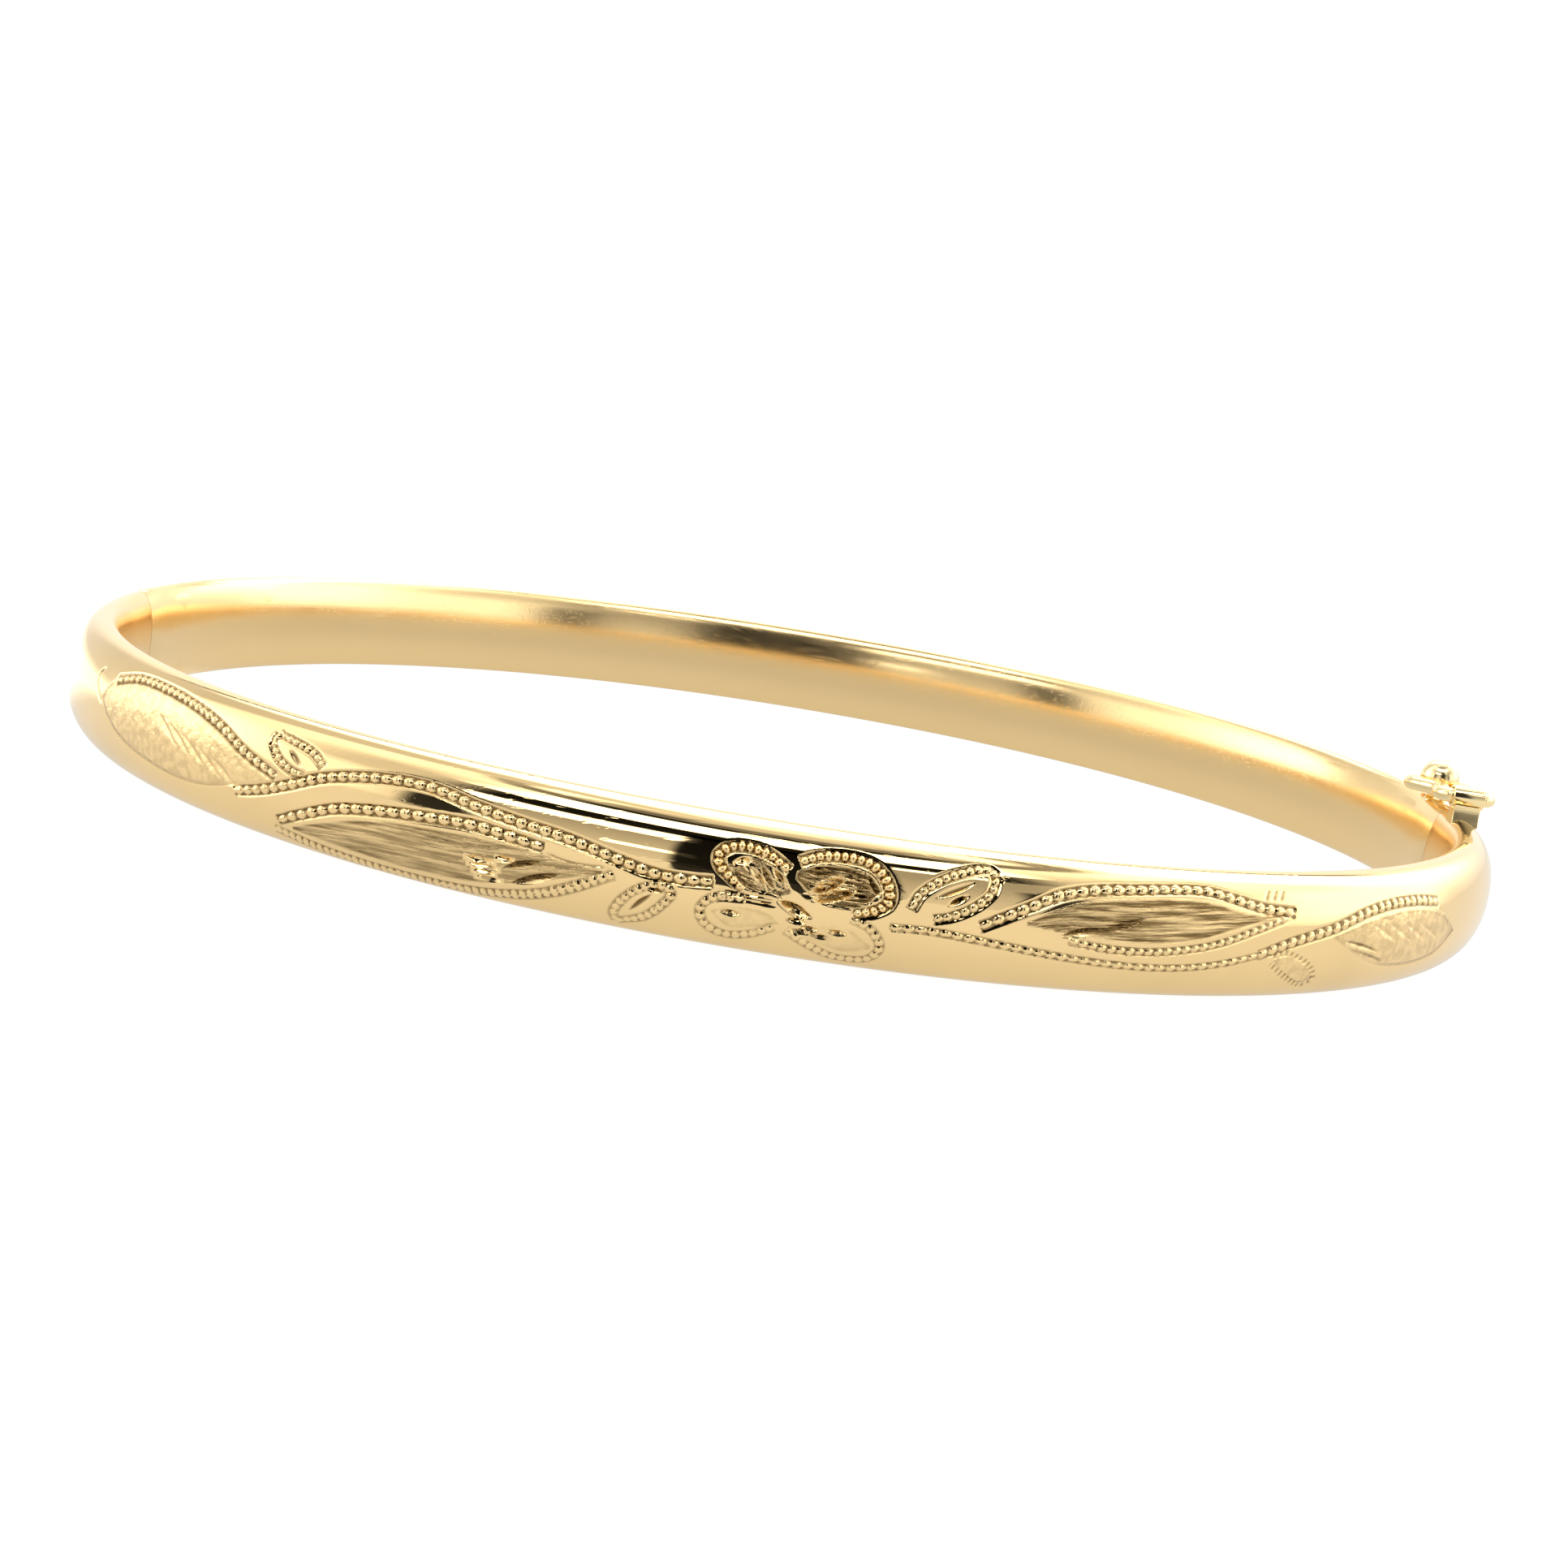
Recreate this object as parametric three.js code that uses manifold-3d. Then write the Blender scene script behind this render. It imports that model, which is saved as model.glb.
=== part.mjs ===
// Hinged oval bangle bracelet, in millimetres.
// +Z runs along the wrist, the origin is on the lower rim at the middle of the oval.
// The hinge is at -X, the clasp at +X, the engraved front half at -Y, the plain back half at +Y.

import * as THREE from 'three';
import { mergeVertices } from 'three/addons/utils/BufferGeometryUtils.js';
import Module from 'manifold-3d';

const wasm = await Module();
wasm.setup();

// Oval centreline of the band.
const halfLength = 31.0;
const halfWidth = 27.9;
const ovalFullness = 2.055;
const bandSteps = 40;

// Band section: domed outside, gently domed inside, with a narrow flat on each rim.
const bandHeight = 4.75;
const midHeight = bandHeight / 2;
const outerDome = 1.5;
const innerDome = 0.7;
const domeFullness = 2.2;
const bandWall = 0.3;
const sectionPoints = 20;

// The two halves, named by the sign of their y.
const FRONT = -1;
const BACK = 1;

// Gaps: between the two halves at each seam, and between pieces that are soldered together.
const seamGap = 0.1;
const solderGap = 0.03;
const runningGap = 0.05;

// Knuckle hinge at the -X end.
const hingeX = -(halfLength + outerDome) + 0.75;
const knuckleRadius = 0.72;
const knuckleLength = 0.95;
const knuckleGap = 0.06;
const knucklePitch = knuckleLength + knuckleGap;
const hingeHalfLength = 1.5 * knuckleLength + knuckleGap;
const pocketRadius = 0.95;
const pocketHalfHeight = hingeHalfLength + 0.25;
const rimReliefRadius = 0.45;
const pinRadius = 0.3;
const pinHeadRadius = 0.5;
const pinHeadHeight = 0.12;
const plugDepth = 1.35;
const webWidth = 0.55;
const webDepth = 1.25;

// End plates and catch box at the +X end.
const plateThickness = 0.35;
const boxLow = 30.7;
const boxHigh = 31.73;
const boxWall = 0.12;
const boxHalfWidth = 1.12;
const boxEnd = 3.7;
const slotHigh = 31.29;

// Spring tongue: a base leaf, and an upper leaf whose free end springs up behind the slot's lip.
const leafThickness = 0.18;
const tongueHalfWidth = 0.95;
const baseLow = boxLow + boxWall + solderGap;
const baseHigh = baseLow + leafThickness;
const tongueTip = 3.55;
const tongueRoot = -1.2;
const foldThickness = 0.13;
const leafPivotX = 31.17;
const leafPivotY = tongueTip - foldThickness - runningGap;
const leafFreeY = 0.5;
const leafRise = 0.3;

// Thumb button on the upper leaf.
const buttonY = 0.95;
const buttonStemRadius = 0.32;
const buttonStemLength = 1.27;
const buttonHeadRadius = 0.6;
const buttonHeadHeight = 0.36;
const notchHalfWidth = buttonStemRadius + 0.06;
const notchDepth = buttonY + notchHalfWidth + 0.07;

// Figure-eight safety catch on the upper rim beside the clasp.
const safetyX = 31.1;
const barrelY = -2.5;
const barrelLift = 1.0;
const barrelHalfLength = 0.72;
const barrelRadius = 0.5;
const wireRadius = 0.33;
const wireSteps = 72;
const catchReach = 5.2;
const catchTilt = THREE.MathUtils.degToRad(5);
const catchLoopRadius = 1.27;
const catchShoulder = 1.06;
const catchWaist = wireRadius + runningGap;
const saddleHalfLength = 0.6;
const saddleHalfWidth = 0.42;

// Ball knob that the catch's far loop snaps over.
const knobRadius = 0.9;
const knobLift = 0.95;
const knobPostRadius = 0.42;
const knobY = barrelY + catchReach * Math.cos(catchTilt);

// Length that a cutting solid runs past what it cuts.
const cutMargin = 1.0;

const finishes = {
  polished: { color: 0xe3bf6c, roughness: 0.12, metalness: 1.0 },
  engraved: { color: 0xdcb662, roughness: 0.24, metalness: 1.0 },
  spring: { color: 0xd6ae5c, roughness: 0.3, metalness: 1.0 },
  wire: { color: 0xe8c877, roughness: 0.16, metalness: 1.0 },
};

const signedPower = (value, exponent) => Math.sign(value) * Math.abs(value) ** exponent;

// The band's centreline between two angles, counter-clockwise seen from above.
class OvalArc extends THREE.Curve {
  constructor(startAngle, endAngle) {
    super();
    this.startAngle = startAngle;
    this.endAngle = endAngle;
  }

  getPoint(t, target = new THREE.Vector3()) {
    const angle = THREE.MathUtils.lerp(this.startAngle, this.endAngle, t);
    const x = halfLength * signedPower(Math.cos(angle), 2 / ovalFullness);
    const y = halfWidth * signedPower(Math.sin(angle), 2 / ovalFullness);
    return target.set(x, y, midHeight);
  }
}

// Outline of the band, grown by `grow` all round (a negative value shrinks it).
// The first axis is down and the second is towards the wrist, as a sweep along the oval needs.
function bandOutline(grow) {
  const step = (2 * Math.PI) / sectionPoints;
  const rimSine = Math.cos(step / 2) ** (2 / domeFullness);
  const points = [];
  for (let i = 0; i < sectionPoints; i += 1) {
    const angle = (i + 0.5) * step;
    const rise = ((midHeight + grow) * signedPower(Math.sin(angle), 2 / domeFullness)) / rimSine;
    const outward = Math.cos(angle) > 0
      ? (outerDome + grow) * Math.cos(angle) ** (2 / domeFullness)
      : (innerDome + grow) * Math.cos(angle);
    points.push(new THREE.Vector2(-rise, -outward));
  }
  return points;
}

const sweepShape = (shape, path, steps) =>
  new THREE.ExtrudeGeometry(shape, { extrudePath: path, steps, curveSegments: 1 });

function toSolid(geometry) {
  const bare = geometry.clone();
  bare.deleteAttribute('normal');
  bare.deleteAttribute('uv');
  const merged = mergeVertices(bare);
  const vertProperties = Float32Array.from(merged.attributes.position.array);
  const triVerts = Uint32Array.from(merged.index.array);
  return new wasm.Manifold(new wasm.Mesh({ numProp: 3, vertProperties, triVerts }));
}

function toGeometry(solid) {
  const { vertProperties, triVerts } = solid.getMesh();
  const geometry = new THREE.BufferGeometry();
  geometry.setAttribute('position', new THREE.BufferAttribute(vertProperties, 3));
  geometry.setIndex(new THREE.BufferAttribute(triVerts, 1));
  geometry.computeVertexNormals();
  return geometry;
}

const cut = (solid, ...cutters) => cutters.reduce((rest, cutter) => rest.subtract(cutter), solid);

function box(low, high) {
  const size = high.map((value, i) => value - low[i]);
  const middle = high.map((value, i) => (value + low[i]) / 2);
  return toSolid(new THREE.BoxGeometry(...size).translate(...middle));
}

// A cylinder along Z standing at (x, y) between two heights.
function column(x, y, radius, low, high, sides = 32) {
  const geometry = new THREE.CylinderGeometry(radius, radius, high - low, sides);
  return toSolid(geometry.rotateX(Math.PI / 2).translate(x, y, (low + high) / 2));
}

// A cylinder along X about the safety catch's own axis.
function barrelRod(radius, halfSpan) {
  const geometry = new THREE.CylinderGeometry(radius, radius, 2 * halfSpan, 24);
  return toSolid(geometry.rotateZ(Math.PI / 2).translate(safetyX, barrelY, bandHeight + barrelLift));
}

function piece(name, geometry, finish) {
  const mesh = new THREE.Mesh(geometry, new THREE.MeshStandardMaterial(finishes[finish]));
  mesh.name = name;
  return mesh;
}

// Two half bands ----------------------------------------------------------------------------

// Angle on the oval at which the centreline is half a seam gap away from y = 0.
const seamAngle = Math.asin((seamGap / 2 / halfWidth) ** (ovalFullness / 2));

function bandPath(side) {
  return side === BACK
    ? new OvalArc(seamAngle, Math.PI - seamAngle)
    : new OvalArc(Math.PI + seamAngle, 2 * Math.PI - seamAngle);
}

function hollowBand(side) {
  const shape = new THREE.Shape(bandOutline(0));
  shape.holes.push(new THREE.Path(bandOutline(-bandWall).reverse()));
  return toSolid(sweepShape(shape, bandPath(side), bandSteps));
}

// A slice of a half band's cavity at its hinge end (-1) or clasp end (1), down to a depth in y.
function cavitySlice(side, endSign, depth) {
  const shape = new THREE.Shape(bandOutline(-bandWall - solderGap));
  const [innerX, outerX] = [halfLength / 2, halfLength + outerDome].map((x) => endSign * x).sort((a, b) => a - b);
  const slab = box([innerX, -depth, 0], [outerX, depth, bandHeight]);
  return toSolid(sweepShape(shape, bandPath(side), bandSteps)).intersect(slab);
}

// What a piece on the rim has cut away from its foot so that it sits on the dome.
function rimSeat() {
  const shape = new THREE.Shape(bandOutline(solderGap));
  return toSolid(sweepShape(shape, new OvalArc(-0.3, 0.3), 12));
}

// Hinge -------------------------------------------------------------------------------------

// Room that both band ends leave round the knuckles, and a smaller relief out to the rims.
function hingeRoom() {
  const pocket = column(hingeX, 0, pocketRadius, midHeight - pocketHalfHeight, midHeight + pocketHalfHeight);
  return pocket.add(column(hingeX, 0, rimReliefRadius, -cutMargin, bandHeight + cutMargin));
}

// The web that ties one knuckle to its plug: level is -1, 0 or 1.
function knuckleWeb(level, side, clearance) {
  const middle = midHeight + level * knucklePitch;
  const half = knuckleLength / 2 + clearance;
  const [nearY, farY] = [0.3, webDepth + clearance].map((y) => side * y).sort((a, b) => a - b);
  return box(
    [hingeX - clearance, nearY, middle - half],
    [hingeX + webWidth + clearance, farY, middle + half],
  );
}

function knuckle(level, side) {
  const low = midHeight + level * knucklePitch - knuckleLength / 2;
  const barrel = column(hingeX, 0, knuckleRadius, low, low + knuckleLength);
  const bore = column(hingeX, 0, pinRadius + runningGap, low - cutMargin, low + knuckleLength + cutMargin);
  return toGeometry(cut(barrel.add(knuckleWeb(level, side, 0)), bore));
}

function hingePlug(levels, side) {
  const block = cavitySlice(side, -1, plugDepth);
  return toGeometry(cut(block, hingeRoom(), ...levels.map((level) => knuckleWeb(level, side, solderGap))));
}

// The pin is riveted over at both ends.
function hingePin() {
  const headStart = hingeHalfLength + solderGap;
  const headEnd = headStart + pinHeadHeight;
  const profile = [
    [0, -headEnd],
    [pinHeadRadius, -headEnd],
    [pinHeadRadius, -headStart],
    [pinRadius, -headStart],
    [pinRadius, headStart],
    [pinHeadRadius, headStart],
    [pinHeadRadius, headEnd],
    [0, headEnd],
  ].map(([radius, height]) => new THREE.Vector2(radius, height));
  return new THREE.LatheGeometry(profile, 24).rotateX(Math.PI / 2).translate(hingeX, 0, midHeight);
}

// Clasp -------------------------------------------------------------------------------------

// The open-ended notch that the thumb button's stem leaves by when the clasp opens.
const buttonNotch = () => box(
  [slotHigh - runningGap, -cutMargin, midHeight - notchHalfWidth],
  [halfLength + outerDome + cutMargin, notchDepth, midHeight + notchHalfWidth],
);

function backClaspPlate() {
  const slotHalfWidth = tongueHalfWidth + runningGap;
  const slot = box(
    [boxLow + boxWall, -cutMargin, midHeight - slotHalfWidth],
    [slotHigh, cutMargin, midHeight + slotHalfWidth],
  );
  return toGeometry(cut(cavitySlice(BACK, 1, seamGap / 2 + plateThickness), slot, buttonNotch()));
}

function frontClaspPlate() {
  const slotHalfWidth = tongueHalfWidth + solderGap;
  const slot = box(
    [baseLow - solderGap, -cutMargin, midHeight - slotHalfWidth],
    [baseHigh + solderGap, cutMargin, midHeight + slotHalfWidth],
  );
  return toGeometry(cut(cavitySlice(FRONT, 1, seamGap / 2 + plateThickness), slot));
}

// A rectangular sleeve behind the slotted plate that guides the tongue.
function catchBox() {
  const nearY = seamGap / 2 + plateThickness + solderGap;
  const sleeve = box(
    [boxLow, nearY, midHeight - boxHalfWidth],
    [boxHigh, boxEnd, midHeight + boxHalfWidth],
  );
  const room = box(
    [boxLow + boxWall, -cutMargin, midHeight - boxHalfWidth + boxWall],
    [boxHigh - boxWall, boxEnd + cutMargin, midHeight + boxHalfWidth - boxWall],
  );
  return toGeometry(cut(sleeve, room, buttonNotch()));
}

// An outline in x and y, as thick as the tongue is wide.
function tonguePlate(corners) {
  const shape = new THREE.Shape(corners.map(([x, y]) => new THREE.Vector2(x, y)));
  const options = { depth: 2 * tongueHalfWidth, bevelEnabled: false };
  return new THREE.ExtrudeGeometry(shape, options).translate(0, 0, midHeight - tongueHalfWidth);
}

const tongueBase = () => tonguePlate([
  [baseLow, tongueRoot],
  [baseHigh, tongueRoot],
  [baseHigh, tongueTip - foldThickness],
  [leafPivotX + leafThickness / 2, tongueTip - foldThickness],
  [leafPivotX + leafThickness / 2, tongueTip],
  [baseLow, tongueTip],
]);

const tongueLeaf = () => tonguePlate([
  [leafPivotX - leafThickness / 2, leafPivotY],
  [leafPivotX - leafThickness / 2 + leafRise, leafFreeY],
  [leafPivotX + leafThickness / 2 + leafRise, leafFreeY],
  [leafPivotX + leafThickness / 2, leafPivotY],
]);

// A mushroom whose stem stands on the free end of the upper leaf and points outwards.
function thumbButton() {
  const footX = leafPivotX + leafThickness / 2 + leafRise + solderGap;
  const headEnd = buttonStemLength + buttonHeadHeight;
  const profile = [
    [0, 0],
    [buttonStemRadius, 0],
    [buttonStemRadius, buttonStemLength],
    [buttonHeadRadius, buttonStemLength],
    [buttonHeadRadius, buttonStemLength + buttonHeadHeight / 3],
    [0.8 * buttonHeadRadius, headEnd - buttonHeadHeight / 5],
    [0.4 * buttonHeadRadius, headEnd],
    [0, headEnd],
  ].map(([radius, height]) => new THREE.Vector2(radius, height));
  return new THREE.LatheGeometry(profile, 24).rotateZ(-Math.PI / 2).translate(footX, buttonY, midHeight);
}

// Safety catch ------------------------------------------------------------------------------

const safetyBarrel = () =>
  toGeometry(cut(barrelRod(barrelRadius, barrelHalfLength), barrelRod(wireRadius + solderGap, cutMargin)));

// A small bracket that carries the barrel on the dome of the front half.
function barrelSaddle() {
  const block = box(
    [safetyX - saddleHalfLength, barrelY - saddleHalfWidth, midHeight + outerDome],
    [safetyX + saddleHalfLength, barrelY + saddleHalfWidth, bandHeight + barrelLift - wireRadius],
  );
  return toGeometry(cut(block, rimSeat(), barrelRod(barrelRadius + solderGap, cutMargin)));
}

// One wire whose ends butt together inside the barrel. It is bent to a near loop, a waist
// and a far loop round the knob.
function figureEight() {
  const farLoop = [45, 90, 135].map((degrees) => {
    const angle = THREE.MathUtils.degToRad(degrees);
    return [catchLoopRadius * Math.sin(angle), catchReach - catchLoopRadius * Math.cos(angle)];
  });
  const halfRoute = [
    [solderGap, 0],
    [0.5 * barrelHalfLength, 0],
    [1.05 * barrelHalfLength, 0],
    [0.97 * catchShoulder, 0.33],
    [catchShoulder, 0.8],
    [0.8 * catchShoulder, 1.7],
    [catchWaist, 2.8],
    [1.15 * catchWaist, 3.5],
    ...farLoop,
  ];
  const otherHalf = halfRoute.map(([across, along]) => [-across, along]).reverse();
  const route = [...halfRoute, [0, catchReach + catchLoopRadius], ...otherHalf];
  const points = route.map(([across, along]) => new THREE.Vector3(across, along, 0));
  const path = new THREE.CatmullRomCurve3(points, false, 'centripetal');
  const section = new THREE.Shape().absarc(0, 0, wireRadius, 0, 2 * Math.PI);
  const options = { extrudePath: path, steps: wireSteps, curveSegments: 5 };
  const wire = new THREE.ExtrudeGeometry(section, options);
  return wire.rotateX(-catchTilt).translate(safetyX, barrelY, bandHeight + barrelLift);
}

// A ball on a waisted post, whose foot follows the dome of the back half.
function safetyKnob() {
  const ballHeight = bandHeight + knobLift;
  const ball = toSolid(new THREE.SphereGeometry(knobRadius, 24, 16).rotateX(Math.PI / 2));
  const post = column(safetyX, knobY, knobPostRadius, midHeight + outerDome, ballHeight, 20);
  return toGeometry(cut(ball.translate(safetyX, knobY, ballHeight).add(post), rimSeat()));
}

// Assembly ----------------------------------------------------------------------------------

function backHalf() {
  const group = new THREE.Group();
  group.add(
    piece('back_tube', toGeometry(cut(hollowBand(BACK), hingeRoom(), buttonNotch())), 'polished'),
    piece('back_hinge_plug', hingePlug([0], BACK), 'polished'),
    piece('back_knuckle', knuckle(0, BACK), 'polished'),
    piece('back_clasp_plate', backClaspPlate(), 'polished'),
    piece('catch_box', catchBox(), 'spring'),
    piece('safety_knob', safetyKnob(), 'wire'),
  );
  return group;
}

function frontHalf() {
  const group = new THREE.Group();
  group.add(
    piece('front_tube', toGeometry(cut(hollowBand(FRONT), hingeRoom())), 'engraved'),
    piece('front_hinge_plug', hingePlug([-1, 1], FRONT), 'polished'),
    piece('front_knuckle_lower', knuckle(-1, FRONT), 'polished'),
    piece('front_knuckle_upper', knuckle(1, FRONT), 'polished'),
    piece('hinge_pin', hingePin(), 'spring'),
    piece('front_clasp_plate', frontClaspPlate(), 'polished'),
    piece('tongue_base', tongueBase(), 'spring'),
    piece('barrel_saddle', barrelSaddle(), 'wire'),
    piece('safety_barrel', safetyBarrel(), 'wire'),
  );
  return group;
}

const bangle = new THREE.Group();
bangle.add(backHalf());
bangle.add(frontHalf());
bangle.add(piece('tongue_leaf', tongueLeaf(), 'spring'));
bangle.add(piece('thumb_button', thumbButton(), 'polished'));
bangle.add(piece('safety_figure_eight', figureEight(), 'wire'));

export default bangle;
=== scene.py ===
"""Hinged bangle bracelet in yellow gold, with an engraved front half and a figure-eight safety catch.

Everything is in metres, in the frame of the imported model: +Z along the wrist, the hinge at -X, the clasp
at +X, the engraved front half at -Y and the plain back half at +Y. Distances that belong to the engraving
are given in millimetres, along the band from the middle of the front and across it from its middle line.
"""

import logging
import math
from dataclasses import dataclass, field
from enum import Enum

import bmesh
import bpy
import numpy as np
from mathutils import Matrix, Vector


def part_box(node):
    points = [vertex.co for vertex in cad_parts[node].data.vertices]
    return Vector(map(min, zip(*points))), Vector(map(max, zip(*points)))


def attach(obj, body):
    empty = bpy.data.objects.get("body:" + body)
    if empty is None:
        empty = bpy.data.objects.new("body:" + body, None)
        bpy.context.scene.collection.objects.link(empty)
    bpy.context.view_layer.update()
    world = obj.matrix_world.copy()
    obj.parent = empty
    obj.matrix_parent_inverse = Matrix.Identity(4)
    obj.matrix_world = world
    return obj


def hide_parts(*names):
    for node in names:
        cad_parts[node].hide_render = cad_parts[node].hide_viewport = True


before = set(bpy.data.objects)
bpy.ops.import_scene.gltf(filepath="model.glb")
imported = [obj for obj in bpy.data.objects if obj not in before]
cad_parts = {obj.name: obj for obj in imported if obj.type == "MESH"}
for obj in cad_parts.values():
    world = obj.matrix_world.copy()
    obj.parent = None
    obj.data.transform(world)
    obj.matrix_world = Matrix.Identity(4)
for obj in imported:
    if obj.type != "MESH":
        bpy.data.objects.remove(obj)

MM = 0.001
LOG = logging.getLogger("bangle")

Point2 = tuple[float, float]
Array = np.ndarray
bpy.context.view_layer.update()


class Body(Enum):
    """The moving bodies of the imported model."""

    BACK = "back_half"
    FRONT = "front_half"
    SPRING = "spring_leaf"
    CATCH = "safety_catch"


class Slot(Enum):
    """The record's material slots."""

    POLISHED = "polished_gold"
    ENGRAVED = "engraved_gold"
    SPRING = "spring_gold"
    WIRE = "wire_gold"


# ---------------------------------------------------------------------------------------------
# Small numeric helpers
# ---------------------------------------------------------------------------------------------


def signed_power(value: Array, exponent: float) -> Array:
    """Raises the size of a value to a power and keeps its sign."""
    return np.sign(value) * np.abs(value) ** exponent


def smooth_step(value: Array, low: float, high: float) -> Array:
    """Rises smoothly from 0 at low to 1 at high."""
    t = np.clip((value - low) / (high - low), 0.0, 1.0)
    return t * t * (3.0 - 2.0 * t)


def smooth_path(points: list[Point2], spacing: float = 0.05) -> Array:
    """Samples a Catmull-Rom curve through given points.

    Args:
        points: The curve's points, in order.
        spacing: Distance between samples.

    Returns:
        An (n, 2) array of evenly spaced samples.
    """
    p = np.array(points, float)
    p = np.vstack([2 * p[0] - p[1], p, 2 * p[-1] - p[-2]])
    t = np.linspace(0.0, 1.0, 24, endpoint=False)[:, None]
    runs = []
    for a, b, c, d in zip(p, p[1:], p[2:], p[3:]):
        runs.append(0.5 * (2 * b + (c - a) * t + (2 * a - 5 * b + 4 * c - d) * t**2
                           + (3 * b - a - 3 * c + d) * t**3))
    dense = np.vstack([*runs, p[-2]])
    run = np.concatenate([[0.0], np.cumsum(np.hypot(*np.diff(dense, axis=0).T))])
    even = np.linspace(0.0, run[-1], max(int(run[-1] / spacing), 4) + 1)
    return np.stack([np.interp(even, run, dense[:, i]) for i in (0, 1)], axis=1)


# ---------------------------------------------------------------------------------------------
# The band's form
# ---------------------------------------------------------------------------------------------


@dataclass(frozen=True)
class BandForm:
    """Oval centreline and domed section of the band, in metres."""

    half_length: float
    half_width: float
    height: float
    outer_dome: float = 1.5 * MM
    inner_dome: float = 0.7 * MM
    wall: float = 0.3 * MM
    oval_fullness: float = 2.055
    dome_fullness: float = 2.2

    @classmethod
    def from_frame(cls) -> "BandForm":
        """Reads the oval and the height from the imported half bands."""
        low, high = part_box("front_tube")
        return cls(half_length=high.x - cls.outer_dome, half_width=-low.y - cls.outer_dome,
                   height=high.z - low.z)

    def centre(self, angle: Array) -> tuple[Array, Array]:
        """The centreline's x and y at an angle of the oval."""
        power = 2.0 / self.oval_fullness
        return (self.half_length * signed_power(np.cos(angle), power),
                self.half_width * signed_power(np.sin(angle), power))

    def outward(self, x: Array, y: Array) -> tuple[Array, Array]:
        """The oval's outward normal at a point of the centreline."""
        power = self.oval_fullness - 1.0
        nx = signed_power(x / self.half_length, power) / self.half_length
        ny = signed_power(y / self.half_width, power) / self.half_width
        size = np.hypot(nx, ny)
        return nx / size, ny / size

    def outline(self, angle: Array, grow: float = 0.0) -> tuple[Array, Array]:
        """The section's outward offset and height at a section angle, grown all round by `grow`."""
        power = 2.0 / self.dome_fullness
        rise = signed_power(np.sin(angle), power)
        dome = np.where(np.cos(angle) > 0.0,
                        (self.outer_dome + grow) * np.abs(np.cos(angle)) ** power,
                        (self.inner_dome + grow) * np.cos(angle))
        return dome, self.height / 2.0 + (self.height / 2.0 + grow) * rise


class Track:
    """Positions along one half of the oval by distance from its middle."""

    SAMPLES = 6001

    def __init__(self, form: BandForm, middle_angle: float) -> None:
        """Tabulates the half oval about a middle angle.

        Args:
            form: The band's form.
            middle_angle: Angle of the oval at the middle of this half.
        """
        angle = np.linspace(middle_angle - math.pi / 2, middle_angle + math.pi / 2, self.SAMPLES)
        self.form = form
        self.x, self.y = form.centre(angle)
        self.nx, self.ny = form.outward(self.x, self.y)
        run = np.concatenate([[0.0], np.cumsum(np.hypot(np.diff(self.x), np.diff(self.y)))])
        self.run = run - run[-1] / 2.0

    def at(self, along: Array) -> tuple[Array, Array, Array, Array]:
        """Centre point and outward normal at distances along this half."""
        return tuple(np.interp(along, self.run, v) for v in (self.x, self.y, self.nx, self.ny))

    def reach(self, gap: float) -> float:
        """How far this half runs to each side before it comes within `gap` of y = 0."""
        side = self.run > 0.0
        order = np.argsort(np.abs(self.y[side]))
        return float(np.interp(gap, np.abs(self.y[side])[order], self.run[side][order]))


class Section:
    """The outer face of the band by distance across it from the middle line."""

    def __init__(self, form: BandForm) -> None:
        """Tabulates the outer face of the form."""
        self.angle = np.linspace(-math.pi / 2, math.pi / 2, 2001)
        self.out, self.z = form.outline(self.angle)
        run = np.concatenate([[0.0], np.cumsum(np.hypot(np.diff(self.out), np.diff(self.z)))])
        self.run = run - run[-1] / 2.0
        self.half = float(self.run[-1])

    def angle_at(self, across: Array) -> Array:
        """The section angle at distances across."""
        return np.interp(across, self.run, self.angle)

    def at(self, across: Array) -> tuple[Array, Array, Array, Array]:
        """Outward offset, height, and the face's normal (outward and up) at distances across."""
        step = 0.02 * MM
        out, z = (np.interp(across, self.run, v) for v in (self.out, self.z))
        ahead = [np.interp(across + step, self.run, v) for v in (self.out, self.z)]
        behind = [np.interp(across - step, self.run, v) for v in (self.out, self.z)]
        d_out, d_z = ahead[0] - behind[0], ahead[1] - behind[1]
        size = np.maximum(np.hypot(d_out, d_z), 1e-12)
        return out, z, d_z / size, -d_out / size


# ---------------------------------------------------------------------------------------------
# Engraving
# ---------------------------------------------------------------------------------------------


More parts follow.
